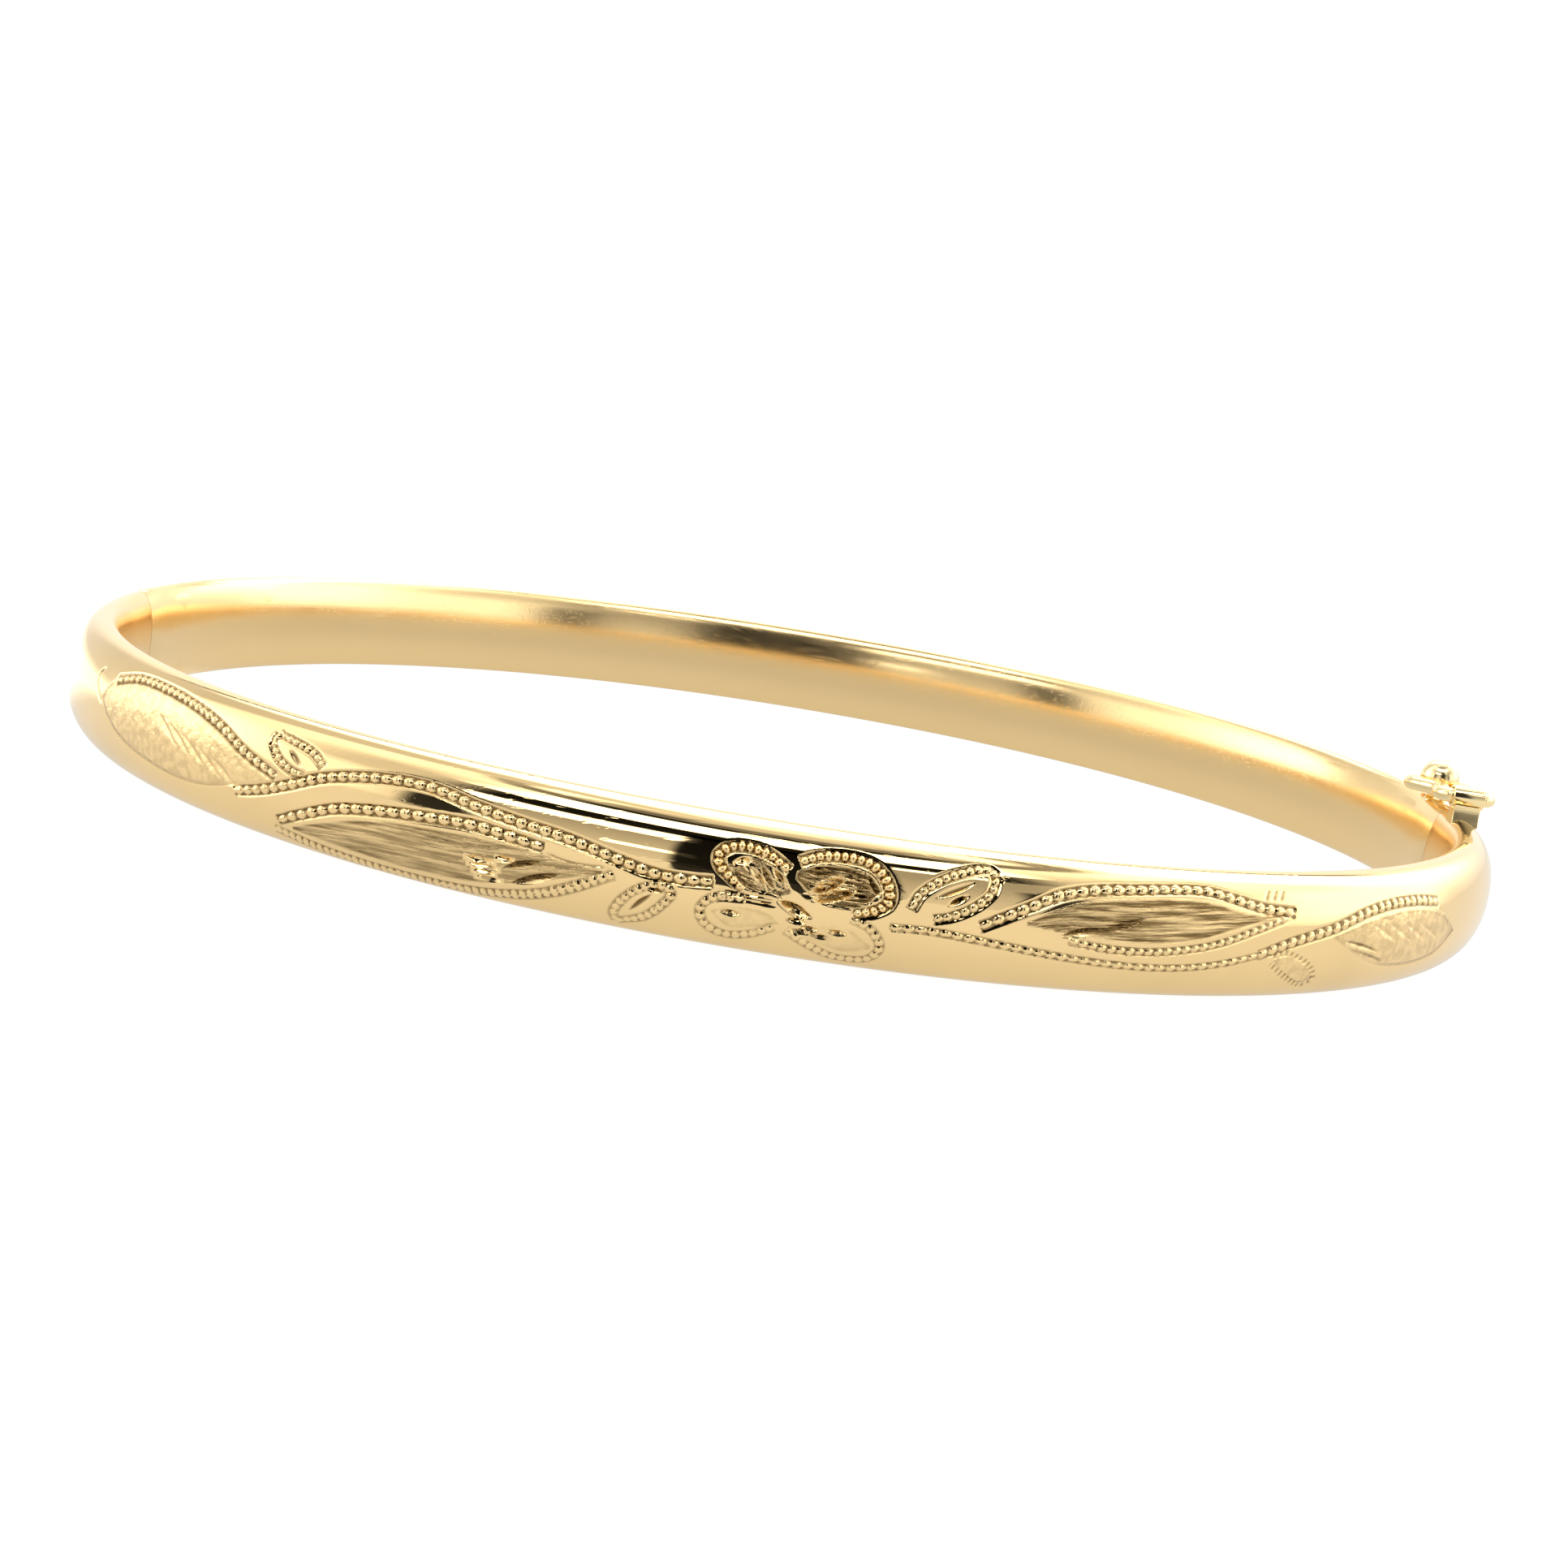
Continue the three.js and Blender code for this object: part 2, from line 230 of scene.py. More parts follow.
class Relief:
    """Height of the engraving, its finish, and where painted shade is kept off, over a grid of the outer face, in
    millimetres.
    """

    BATCH = 20000

    def __init__(self, along: Array, across: Array) -> None:
        """Starts a flat relief over a grid of distances along and across the band."""
        self.along, self.across = along, across
        shape = (len(along), len(across))
        self.height = np.zeros(shape)
        self.satin = np.zeros(shape)
        self.hatch = np.zeros(shape)
        self.matt = np.zeros(shape)
        self.clean = np.zeros(shape)

    def recess_shade(self, reach: int = 4, full: float = 0.04) -> Array:
        """Painted shade for the recesses: how far each point lies below what is round it, from 0 to 1.

        Args:
            reach: Steps of the grid to each side that count as round it.
            full: Depth that counts as 1.

        Returns:
            The painted shade of the recesses over the grid, kept off where a cut is marked free of it.
        """
        around = self.height
        for axis in (0, 1):
            padded = np.pad(around, [(reach + 1, reach) if i == axis else (0, 0) for i in (0, 1)], mode="edge")
            total = np.cumsum(padded, axis=axis)
            size = around.shape[axis]
            high = total.take(range(2 * reach + 1, 2 * reach + 1 + size), axis=axis)
            around = (high - total.take(range(size), axis=axis)) / (2 * reach + 1)
        return np.clip((around - self.height) / full, 0.0, 1.0) * (1.0 - self.clean)

    def window(self, path: Array, margin: float) -> tuple[slice, slice]:
        """The part of the grid that lies within a margin of a path's box."""
        low, high = path.min(0) - margin, path.max(0) + margin
        rows = np.searchsorted(self.along, [low[0], high[0]])
        cols = np.searchsorted(self.across, [low[1], high[1]])
        return slice(*rows), slice(*cols)

    def near(self, path: Array, margin: float) -> tuple[tuple[slice, slice], Array, Array, float]:
        """Distances along and beside a path for each grid point near it.

        Args:
            path: Evenly spaced samples of the path.
            margin: How far beside the path the points reach.

        Returns:
            The window, distance along the path, signed distance beside it, and the path's length.
        """
        window = self.window(path, margin)
        s, q = np.meshgrid(self.along[window[0]], self.across[window[1]], indexing="ij")
        flat = np.stack([s.ravel(), q.ravel()], axis=1)
        pace = float(np.hypot(*(path[1] - path[0])))
        tangent = np.gradient(path, axis=0)
        tangent /= np.hypot(*tangent.T)[:, None]
        nearest = np.empty(len(flat), int)
        for start in range(0, len(flat), self.BATCH):
            part = flat[start:start + self.BATCH]
            gap = (part[:, None, 0] - path[None, :, 0]) ** 2 + (part[:, None, 1] - path[None, :, 1]) ** 2
            nearest[start:start + self.BATCH] = gap.argmin(1)
        offset = flat - path[nearest]
        way = tangent[nearest]
        run = nearest * pace + (offset * way).sum(1)
        beside = way[:, 0] * offset[:, 1] - way[:, 1] * offset[:, 0]
        return window, run.reshape(s.shape), beside.reshape(s.shape), pace * (len(path) - 1)


class Motif:
    """Anything that is cut into the band."""

    def carve(self, relief: Relief) -> None:
        """Cuts this motif into the relief."""
        raise NotImplementedError


@dataclass(frozen=True)
class BeadRow(Motif):
    """A row of round beads left standing in a shallow channel."""

    points: list[Point2]
    pitch: float = 0.44
    width: float = 0.38
    height: float = 0.13
    channel: float = 0.075
    fill: float = 0.96

    def carve(self, relief: Relief) -> None:
        """Cuts the channel and leaves the beads."""
        path = smooth_path(self.points)
        window, run, beside, length = relief.near(path, self.width)
        count = max(round(length / self.pitch), 1)
        pitch = length / count
        within = (run > 0.0) & (run < length)
        phase = run - (np.floor(run / pitch) + 0.5) * pitch
        index = np.floor(run / pitch)
        size = (0.94 + 0.06 * np.sin(2.4 * index)) * (0.72 + 0.28 * smooth_step(np.minimum(run, length - run),
                                                                                0.0, 1.2))
        lengthways = (2 * phase / pitch / self.fill) ** 2
        sideways = (2 * beside / self.width / size) ** 2
        dome = size * np.sqrt(np.clip(1.0 - lengthways - sideways, 0.0, 1.0))
        channel = 1.0 - smooth_step(np.abs(beside), 0.42 * self.width, 0.72 * self.width)
        relief.height[window] += np.where(within, self.height * dome - self.channel * size * channel, 0.0)


@dataclass(frozen=True)
class TickRow(Motif):
    """Short parallel cuts laid across an outline."""

    points: list[Point2]
    pitch: float = 0.27
    width: float = 0.46
    depth: float = 0.075

    def carve(self, relief: Relief) -> None:
        """Cuts the ticks."""
        path = smooth_path(self.points)
        window, run, beside, length = relief.near(path, self.width)
        count = max(round(length / self.pitch), 1)
        wave = np.cos(2 * np.pi * run * count / length)
        fade = 1.0 - smooth_step(np.abs(beside), 0.3 * self.width, 0.52 * self.width)
        within = (run > -0.1) & (run < length + 0.1)
        relief.height[window] += np.where(within, self.depth * (0.62 * wave - 0.38) * fade, 0.0)


@dataclass(frozen=True)
class Groove(Motif):
    """A plain engraved line."""

    points: list[Point2]
    width: float = 0.14
    depth: float = 0.05

    def carve(self, relief: Relief) -> None:
        """Cuts the line, shallower towards both ends."""
        path = smooth_path(self.points)
        window, run, beside, length = relief.near(path, self.width)
        ends = np.clip(np.minimum(run, length - run) / (0.18 * length), 0.0, 1.0)
        profile = np.clip(1.0 - 2 * np.abs(beside) / self.width, 0.0, 1.0)
        relief.height[window] -= self.depth * ends * profile


@dataclass(frozen=True)
class BrightCut(Motif):
    """An almond-shaped facet cut with one steep and one long side."""

    start: Point2
    end: Point2
    width: float = 0.3
    depth: float = 0.13
    bias: float = 0.35
    clean: float = 0.0

    def carve(self, relief: Relief) -> None:
        """Cuts the almond, and marks how far it stays free of painted shade and of satin."""
        path = smooth_path([self.start, self.end])
        window, run, beside, length = relief.near(path, self.width)
        t = np.clip(2.0 * run / length - 1.0, -1.0, 1.0)
        half = 0.5 * self.width * (1.0 - t * t) + 1e-6
        keel = self.bias * half
        side = np.where(beside > keel, (half - beside) / (half - keel), (half + beside) / (half + keel))
        relief.height[window] -= self.depth * (1.0 - t * t) * np.clip(side, 0.0, 1.0)
        near = self.clean * (np.abs(beside) < 0.6 * self.width) * (np.abs(t) < 1.0)
        relief.clean[window] = np.maximum(relief.clean[window], near)
        relief.satin[window] *= 1.0 - near


@dataclass(frozen=True)
class SatinField(Motif):
    """A leaf's inside, sunk a little and lined or matted.

    The two edges run in the same direction and share their ends.
    """

    upper: list[Point2]
    lower: list[Point2]
    sink: float = 0.02
    strength: float = 1.0
    edge: float = 0.12
    lined: bool = True

    def carve(self, relief: Relief) -> None:
        """Sinks the field, marks it as satin or matt, and lays the lines along its middle."""
        upper, lower = smooth_path(self.upper), smooth_path(self.lower)
        window = relief.window(np.vstack([upper, lower]), 0.1)
        s, q = np.meshgrid(relief.along[window[0]], relief.across[window[1]], indexing="ij")
        top = np.interp(s, upper[:, 0], upper[:, 1])
        base = np.interp(s, lower[:, 0], lower[:, 1])
        first, last = max(upper[0, 0], lower[0, 0]), min(upper[-1, 0], lower[-1, 0])
        inside = smooth_step(np.minimum(top - q, q - base), 0.0, self.edge) * ((s > first) & (s < last))
        relief.height[window] -= self.sink * inside
        finish = relief.satin if self.lined else relief.matt
        finish[window] = np.maximum(finish[window], self.strength * inside)
        relief.hatch[window] = np.where(inside > 0.0, q - 0.5 * (top + base), relief.hatch[window])


class Engraving:
    """The whole pattern: a four-petalled flower with leaves and stems to each side."""

    ALONG = (-31.5, 31.8)
    ACROSS = (-2.5, 2.35)
    FLOWER = (-1.8, 8.8)

    def left_side(self) -> list[Motif]:
        """End leaf, bud, stem, long leaf and small leaf on the hinge side."""
        end_top = [(-29.2, 0.62), (-28.3, 1.45), (-26.6, 1.95), (-24.5, 2.02), (-22.5, 1.83), (-20.7, 1.4),
                   (-19.2, 0.8), (-17.5, 0.28)]
        end_base = [(-29.2, 0.5), (-28.2, -0.2), (-26.5, -0.75), (-23.6, -1.1), (-21.4, -1.0), (-19.6, -0.55),
                    (-17.5, 0.05)]
        leaf_top = [(-17.3, -1.35), (-16.0, -0.75), (-14.6, -0.2), (-12.8, 0.15), (-11.0, 0.35), (-9.2, 0.45),
                    (-6.8, 0.22)]
        leaf_base = [(-17.5, -1.75), (-15.5, -2.08), (-12.8, -2.25), (-10.0, -2.2), (-8.0, -1.9), (-6.3, -1.3),
                     (-4.3, -0.2)]
        field_top = [(-16.6, -1.35), (-15.0, -0.75), (-13.0, -0.2), (-10.5, 0.05), (-8.0, 0.1), (-6.4, 0.0),
                     (-4.7, -0.12)]
        field_base = [(-16.6, -1.6), (-14.5, -1.75), (-12.0, -1.85), (-9.5, -1.75), (-7.8, -1.4), (-6.2, -0.85),
                      (-4.7, -0.3)]
        stem = [(-19.4, -0.75), (-18.2, -0.4), (-16.9, 0.1), (-15.4, 0.75), (-13.9, 1.15), (-12.4, 1.38),
                (-11.0, 1.4),
                (-9.5, 1.15), (-7.9, 0.92), (-6.0, 0.7), (-4.2, 0.32), (-3.0, 0.1), (-2.0, 0.08), (-1.0, 0.17)]
        small = [(-4.1, -2.05), (-4.2, -1.6), (-3.85, -0.95), (-3.2, -0.42), (-2.6, -0.3), (-2.35, -0.6),
                 (-3.1, -1.55), (-4.1, -2.05)]
        motifs: list[Motif] = [
            SatinField(end_top, end_base, sink=0.03, lined=False),
            SatinField(field_top, field_base, sink=0.025, strength=0.75),
            BeadRow(end_top[1:], pitch=0.42, height=0.1),
            Groove(end_base, width=0.2, depth=0.04),
            Groove([(-29.8, 1.68), (-30.15, 1.2), (-29.75, 0.7), (-29.1, 0.25)], width=0.22, depth=0.08),
            BeadRow(stem),
            BeadRow(leaf_top, pitch=0.5),
            BeadRow(leaf_base, pitch=0.3, width=0.42, height=0.085, channel=0.03),
            BeadRow([(-17.9, 1.85), (-17.95, 1.45), (-17.5, 0.95), (-16.9, 0.68), (-16.3, 0.6)], pitch=0.3,
                    width=0.3, height=0.09),
            BeadRow([(-17.8, 1.85), (-17.0, 1.72), (-16.1, 1.5), (-15.5, 1.12)], pitch=0.3, width=0.3,
                    height=0.09),
            BeadRow(small, pitch=0.27, width=0.32, height=0.08, channel=0.03),
            Groove([(-6.9, 0.1), (-5.8, -0.08), (-4.4, 0.0)], width=0.16),
            BrightCut((-8.2, -0.85), (-6.8, -0.28), width=0.34, depth=0.18),
            BrightCut((-7.9, -1.4), (-6.1, -0.6), width=0.38, depth=0.2),
            BrightCut((-17.2, 1.45), (-16.4, 0.85), width=0.24, depth=0.08),
            BrightCut((-3.7, -1.5), (-2.9, -0.6), width=0.3, depth=0.12),
            BrightCut((-3.2, -0.45), (-2.55, -0.5), width=0.2, depth=0.1, bias=-0.4),
        ]
        for along, across, length in ((-9.6, -0.72, 1.2), (-9.5, -0.95, 1.3), (-9.3, -1.18, 1.0),
                                      (-9.2, -1.4, 1.1), (-8.5, -0.5, 0.8)):
            motifs.append(BrightCut((along, across), (along + length, across), width=0.25, depth=0.15, bias=0.4,
                                    clean=0.9))
        for step in range(5):
            start = (-24.6 + 0.95 * step, 1.1 - 0.22 * step)
            motifs.append(BrightCut(start, (start[0] + 1.7, start[1] - 1.0), width=0.3, depth=0.06, bias=0.3,
                                    clean=1.0))
        return motifs

    def flower(self) -> list[Motif]:
        """Four petals round a bright almond, with facets cut into the upper two."""
        upper_left = [(0.0, 0.1), (-0.35, 0.35), (-0.85, 0.75), (-0.95, 1.15), (-0.6, 1.48), (0.0, 1.57),
                      (0.7, 1.42), (1.4, 1.0)]
        upper_right = [(1.75, 1.35), (2.3, 1.62), (3.1, 1.76), (3.9, 1.7), (4.45, 1.38), (4.8, 0.85),
                       (4.8, 0.35), (4.4, 0.02), (3.75, -0.18)]
        lower_left = [(0.1, -0.2), (-0.8, -0.3), (-1.3, -0.78), (-1.1, -1.4), (-0.4, -1.72), (0.4, -1.55),
                      (1.2, -1.1)]
        lower_right = [(1.6, -1.15), (2.5, -1.65), (3.4, -2.02), (4.4, -1.92), (4.8, -1.3), (4.4, -0.65),
                       (3.7, -0.35)]
        motifs: list[Motif] = [
            SatinField([(-0.6, 0.9), (-0.1, 1.25), (0.5, 1.25), (1.2, 0.9), (1.6, 0.3)],
                       [(-0.6, 0.85), (0.0, 0.2), (0.6, 0.0), (1.1, 0.0), (1.6, 0.2)],
                       sink=0.05),
            SatinField([(1.7, 1.05), (2.4, 1.35), (3.2, 1.45), (4.0, 1.3), (4.55, 0.8)],
                       [(1.7, 0.7), (2.4, 0.15), (3.2, -0.05), (4.0, 0.1), (4.55, 0.7)],
                       sink=0.05),
            SatinField([(-1.0, -0.8), (-0.3, -0.5), (0.8, -0.5), (1.4, -0.9)],
                       [(-1.0, -0.9), (-0.3, -1.45), (0.5, -1.3), (1.4, -1.0)],
                       lined=False, strength=0.5),
            SatinField([(1.6, -0.9), (2.6, -0.75), (3.6, -0.65), (4.5, -1.2)],
                       [(1.6, -1.0), (2.6, -1.5), (3.6, -1.75), (4.5, -1.5)],
                       lined=False, strength=0.5),
            BeadRow(upper_left, pitch=0.28, width=0.36, height=0.18),
            BeadRow(upper_right, pitch=0.28, width=0.38, height=0.18),
            BeadRow(lower_left, pitch=0.3, width=0.32, height=0.07, channel=0.025),
            BeadRow(lower_right, pitch=0.3, width=0.32, height=0.07, channel=0.025),
            BrightCut((1.0, 0.32), (2.25, -0.28), width=0.6, depth=0.09, bias=-0.7, clean=0.3),
            BrightCut((1.15, -0.1), (2.45, -0.55), width=0.4, depth=0.26, bias=0.1),
            BrightCut((1.5, -0.35), (2.3, -0.65), width=0.2, depth=0.12, bias=-0.4),
            BrightCut((0.1, 0.95), (0.8, 0.1), width=0.28, depth=0.14, clean=0.8),
            BrightCut((0.45, 1.1), (1.1, 0.15), width=0.28, depth=0.15, bias=-0.4, clean=0.5),
            BrightCut((0.85, 1.05), (1.4, 0.3), width=0.26, depth=0.14, clean=0.8),
            BrightCut((-0.45, 0.95), (0.15, 1.15), width=0.3, depth=0.12, bias=0.4, clean=1.0),
            BrightCut((2.25, 0.38), (3.3, 1.0), width=0.42, depth=0.24, bias=-0.5, clean=0.6),
            BrightCut((2.3, 0.08), (3.75, 0.62), width=0.42, depth=0.26, bias=-0.3, clean=0.6),
            BrightCut((4.0, 1.4), (4.6, 0.45), width=0.28, depth=0.14, bias=-0.5),
        ]
        for along, across in ((-0.3, -0.82), (1.9, -0.72), (2.35, -0.95), (2.75, -1.2), (2.1, -1.12),
                              (3.3, -0.95)):
            motifs.append(BrightCut((along - 0.4, across), (along + 0.4, across - 0.04), width=0.25, depth=0.15,
                                    bias=0.4, clean=0.9))
        for step in range(6):
            motifs.append(Groove([(1.95, 1.2 - 0.19 * step), (3.2, 1.28 - 0.2 * step),
                                  (4.45, 1.0 - 0.14 * step)], width=0.13, depth=0.075))
        for step in range(3):
            motifs.append(Groove([(-0.9, 0.0 - 0.12 * step), (1.3, -0.12 - 0.1 * step)], width=0.12,
                                 depth=0.045))
        return motifs

    def right_side(self) -> list[Motif]:
        """Small leaf, stem, long leaf, matt leaf and end leaf on the clasp side."""
        leaf_top = [(8.0, -0.05), (8.8, 0.38), (9.7, 0.85), (10.7, 1.35), (12.0, 1.65), (13.6, 1.8),
                    (15.2, 1.92), (16.4, 1.92),
                    (17.6, 1.65), (18.8, 1.35), (20.3, 1.2)]
        leaf_base = [(11.2, -0.22), (12.5, -0.4), (14.0, -0.44), (15.5, -0.3), (17.0, 0.0), (18.6, 0.55),
                     (20.3, 1.15)]
        field_top = [(9.6, 0.35), (11.2, 1.1), (13.0, 1.4), (15.0, 1.58), (16.6, 1.5), (18.0, 1.2),
                     (19.6, 1.12)]
        field_base = [(9.6, 0.15), (11.2, 0.0), (12.8, -0.12), (14.5, -0.12), (16.2, 0.1), (18.0, 0.62),
                      (19.6, 1.0)]
        stem = [(5.0, -0.45), (6.5, -0.42), (8.2, -0.56), (10.0, -0.75), (12.0, -0.94), (14.0, -1.04),
                (15.8, -0.98), (17.4, -0.75),
                (18.8, -0.42), (20.2, 0.05), (21.4, 0.35), (22.6, 0.62), (24.2, 1.1), (25.9, 1.36),
                (27.7, 1.38), (29.4, 1.2)]
        end_top = [(22.4, 0.35), (24.4, 0.85), (26.2, 1.1), (28.0, 1.1), (29.8, 0.75), (31.3, -0.1)]
        end_base = [(22.4, 0.15), (23.4, -0.3), (24.6, -0.78), (26.2, -1.12), (28.2, -1.2), (30.0, -0.95),
                    (31.3, -0.2)]
        small_top = [(5.6, 0.3), (5.85, 0.85), (6.5, 1.4), (7.3, 1.8), (8.05, 2.0), (8.4, 1.75)]
        small_base = [(8.4, 1.75), (8.25, 1.15), (7.7, 0.6), (7.0, 0.2), (6.4, 0.02)]
        motifs: list[Motif] = [
            SatinField(field_top, field_base, sink=0.025),
            SatinField(end_top, end_base, sink=0.03, lined=False),
            SatinField([(19.6, -0.5), (20.4, -0.4), (21.3, -0.8), (21.9, -1.3)],
                       [(19.6, -0.7), (20.3, -1.2), (21.2, -1.65), (21.9, -1.5)], lined=False),
            BeadRow(leaf_top, pitch=0.46, height=0.1),
            BeadRow(leaf_base, pitch=0.36, width=0.28, height=0.08, channel=0.04),
            BeadRow(small_top, pitch=0.3, width=0.32, height=0.09),
            BeadRow(small_base, pitch=0.3, width=0.32, height=0.09),
            BeadRow(stem[:9], pitch=0.42, width=0.26, height=0.08, channel=0.04),
            BeadRow(stem[8:], pitch=0.46, width=0.4, height=0.1, channel=0.04),
            Groove(end_base, width=0.2, depth=0.04),
            TickRow([(19.5, -0.45), (20.3, -0.35), (21.4, -0.8), (21.95, -1.4), (21.5, -1.75), (20.5, -1.35),
                     (19.6, -0.8)], width=0.26, depth=0.04),
            BrightCut((10.8, -0.1), (12.6, 0.32), width=0.36, depth=0.2),
            BrightCut((12.0, 0.12), (13.9, 0.82), width=0.42, depth=0.13, bias=-0.4),
            BrightCut((6.3, 0.75), (7.7, 1.5), width=0.28, depth=0.12, bias=-0.4),
            BrightCut((6.8, 0.55), (7.5, 0.98), width=0.26, depth=0.17),
            BrightCut((23.0, 0.1), (25.4, -0.5), width=0.34, depth=0.07),
            BrightCut((23.4, -0.25), (25.9, -0.95), width=0.3, depth=0.06),
        ]
        for step in range(3):
            motifs.append(Groove([(18.9 + 0.35 * step, 1.6), (19.2 + 0.35 * step, 2.05)], width=0.14,
                                 depth=0.035))
        for step in range(4):
            start = (24.6 + 1.1 * step, 0.7 - 0.05 * step)
            motifs.append(BrightCut(start, (start[0] + 1.9, start[1] - 0.9), width=0.3, depth=0.06, bias=0.3,
                                    clean=1.0))
        return motifs

    def carve(self, relief: Relief) -> None:
        """Cuts every motif into the relief."""
        for motif in (*self.left_side(), *self.flower(), *self.right_side()):
            motif.carve(relief)


# ---------------------------------------------------------------------------------------------
# Gold finishes
# ---------------------------------------------------------------------------------------------


class NodeDesk:
    """Adds, sets and links nodes in one node tree."""

    def __init__(self, tree: bpy.types.NodeTree) -> None:
        """Takes the tree to work in."""
        self.tree = tree

    def add(self, kind: str, **settings: object) -> bpy.types.Node:
        """Adds a node and sets its properties."""
        node = self.tree.nodes.new(kind)
        for name, value in settings.items():
            setattr(node, name, value)
        return node

    def feed(self, socket: bpy.types.NodeSocket, value: object) -> None:
        """Links a socket or sets a value on an input."""
        if isinstance(value, bpy.types.NodeSocket):
            self.tree.links.new(value, socket)
        elif value is not None:
            socket.default_value = value

    def math(self, operation: str, first: object, second: object = None, third: object = None,
             clamp: bool = False) -> bpy.types.NodeSocket:
        """Adds a math node and returns its output."""
        node = self.add("ShaderNodeMath", operation=operation, use_clamp=clamp)
        for socket, value in zip(node.inputs, (first, second, third)):
            self.feed(socket, value)
        return node.outputs[0]

    def remap(self, value: object, low: float, high: float, to_low: float = 0.0,
              to_high: float = 1.0) -> bpy.types.NodeSocket:
        """Adds a smooth map range node and returns its output."""
        node = self.add("ShaderNodeMapRange", interpolation_type="SMOOTHSTEP")
        for socket, entry in zip(node.inputs, (value, low, high, to_low, to_high)):
            self.feed(socket, entry)
        return node.outputs[0]

    def blend(self, factor: object, first: object, second: object) -> bpy.types.NodeSocket:
        """Mixes two colours and returns the result."""
        node = self.add("ShaderNodeMix", data_type="RGBA")
        for name, value in (("Factor_Float", factor), ("A_Color", first), ("B_Color", second)):
            self.feed(next(s for s in node.inputs if s.identifier == name), value)
        return next(s for s in node.outputs if s.identifier == "Result_Color")


class SharedEffects:
    """Node groups that every gold finish uses."""

    def __init__(self) -> None:
        """Builds each group once."""
        self.tone_and_shade_group = self.make_tone_and_shade()
        self.polish = self.make_hand_polish()

    @staticmethod
    def new_group(name: str, inputs: dict[str, str], outputs: dict[str, str]) -> tuple[bpy.types.NodeTree,
                                                                                       NodeDesk,
                                                                                      bpy.types.Node,
                                                                                       bpy.types.Node]:
        """Makes an empty group.

        Args:
            name: The group's name.
            inputs: Socket types by input name.
            outputs: Socket types by output name.

        Returns:
            The group, its desk, and its input and output nodes.
        """
        group = bpy.data.node_groups.new(name, "ShaderNodeTree")
        for label, kind in inputs.items():
            group.interface.new_socket(label, in_out="INPUT", socket_type=kind)
        for label, kind in outputs.items():
            group.interface.new_socket(label, in_out="OUTPUT", socket_type=kind)
        desk = NodeDesk(group)
        return group, desk, desk.add("NodeGroupInput"), desk.add("NodeGroupOutput")

    def make_tone_and_shade(self) -> bpy.types.NodeTree:
        """Slow random drift of the gold's colour, and painted shade in the deep colour wherever the Cut input
        asks for it.

        Returns:
            A group with inputs Colour, Deep Colour, Cut and output Colour.
        """
        group, desk, inlet, outlet = self.new_group(
            "Alloy Tone And Painted Shade", {"Colour": "NodeSocketColor", "Deep Colour": "NodeSocketColor",
                           "Cut": "NodeSocketFloat"},
            {"Colour": "NodeSocketColor"})
        place = desk.add("ShaderNodeTexCoord").outputs["Object"]
        drift = desk.add("ShaderNodeTexNoise")
        for name, value in (("Vector", place), ("Scale", 160.0), ("Detail", 3.0), ("Roughness", 0.6)):
            desk.feed(drift.inputs[name], value)
        share = desk.remap(drift.outputs["Fac"], 0.35, 0.75, 0.0, 0.08)
        # The Cut input is mostly painted shade of the recesses and satin leaves, with the matt leaves' random
        # mottle.
        share = desk.math("MAXIMUM", share, inlet.outputs["Cut"], clamp=True)
        desk.feed(outlet.inputs["Colour"], desk.blend(share, inlet.outputs["Colour"],
                                                      inlet.outputs["Deep Colour"]))
        return group

    def make_hand_polish(self) -> bpy.types.NodeTree:
        """Hairlines and soft smears left by a polishing cloth.

        Returns:
            A group with inputs Roughness, Smear, Hairlines and outputs Roughness, Height.
        """
        group, desk, inlet, outlet = self.new_group(
            "Hand Polish", {"Roughness": "NodeSocketFloat", "Smear": "NodeSocketFloat",
                            "Hairlines": "NodeSocketFloat"},
            {"Roughness": "NodeSocketFloat", "Height": "NodeSocketFloat"})
        place = desk.add("ShaderNodeTexCoord").outputs["Object"]
        lines = None
        for turn, stretch in ((0.35, (260.0, 9000.0, 2600.0)), (-0.6, (300.0, 7000.0, 9000.0))):
            mapping = desk.add("ShaderNodeMapping", vector_type="POINT")
            desk.feed(mapping.inputs["Vector"], place)
            mapping.inputs["Rotation"].default_value = (0.2, turn, turn)
            mapping.inputs["Scale"].default_value = stretch
            noise = desk.add("ShaderNodeTexNoise")
            for name, value in (("Vector", mapping.outputs[0]), ("Scale", 1.0), ("Detail", 2.0)):
                desk.feed(noise.inputs[name], value)
            line = desk.remap(noise.outputs["Fac"], 0.6, 0.72)
            lines = line if lines is None else desk.math("MAXIMUM", lines, line)
        smear = desk.add("ShaderNodeTexNoise")
        for name, value in (("Vector", place), ("Scale", 420.0), ("Detail", 4.0)):
            desk.feed(smear.inputs[name], value)
        rough = desk.math("MULTIPLY_ADD", desk.remap(smear.outputs["Fac"], 0.4, 0.7), inlet.outputs["Smear"],
                          inlet.outputs["Roughness"])
        scratch = desk.math("MULTIPLY", lines, inlet.outputs["Hairlines"])
        desk.feed(outlet.inputs["Roughness"], desk.math("MULTIPLY_ADD", scratch, 0.12, rough))
        desk.feed(outlet.inputs["Height"], desk.math("MULTIPLY", scratch, -1.0))
        return group


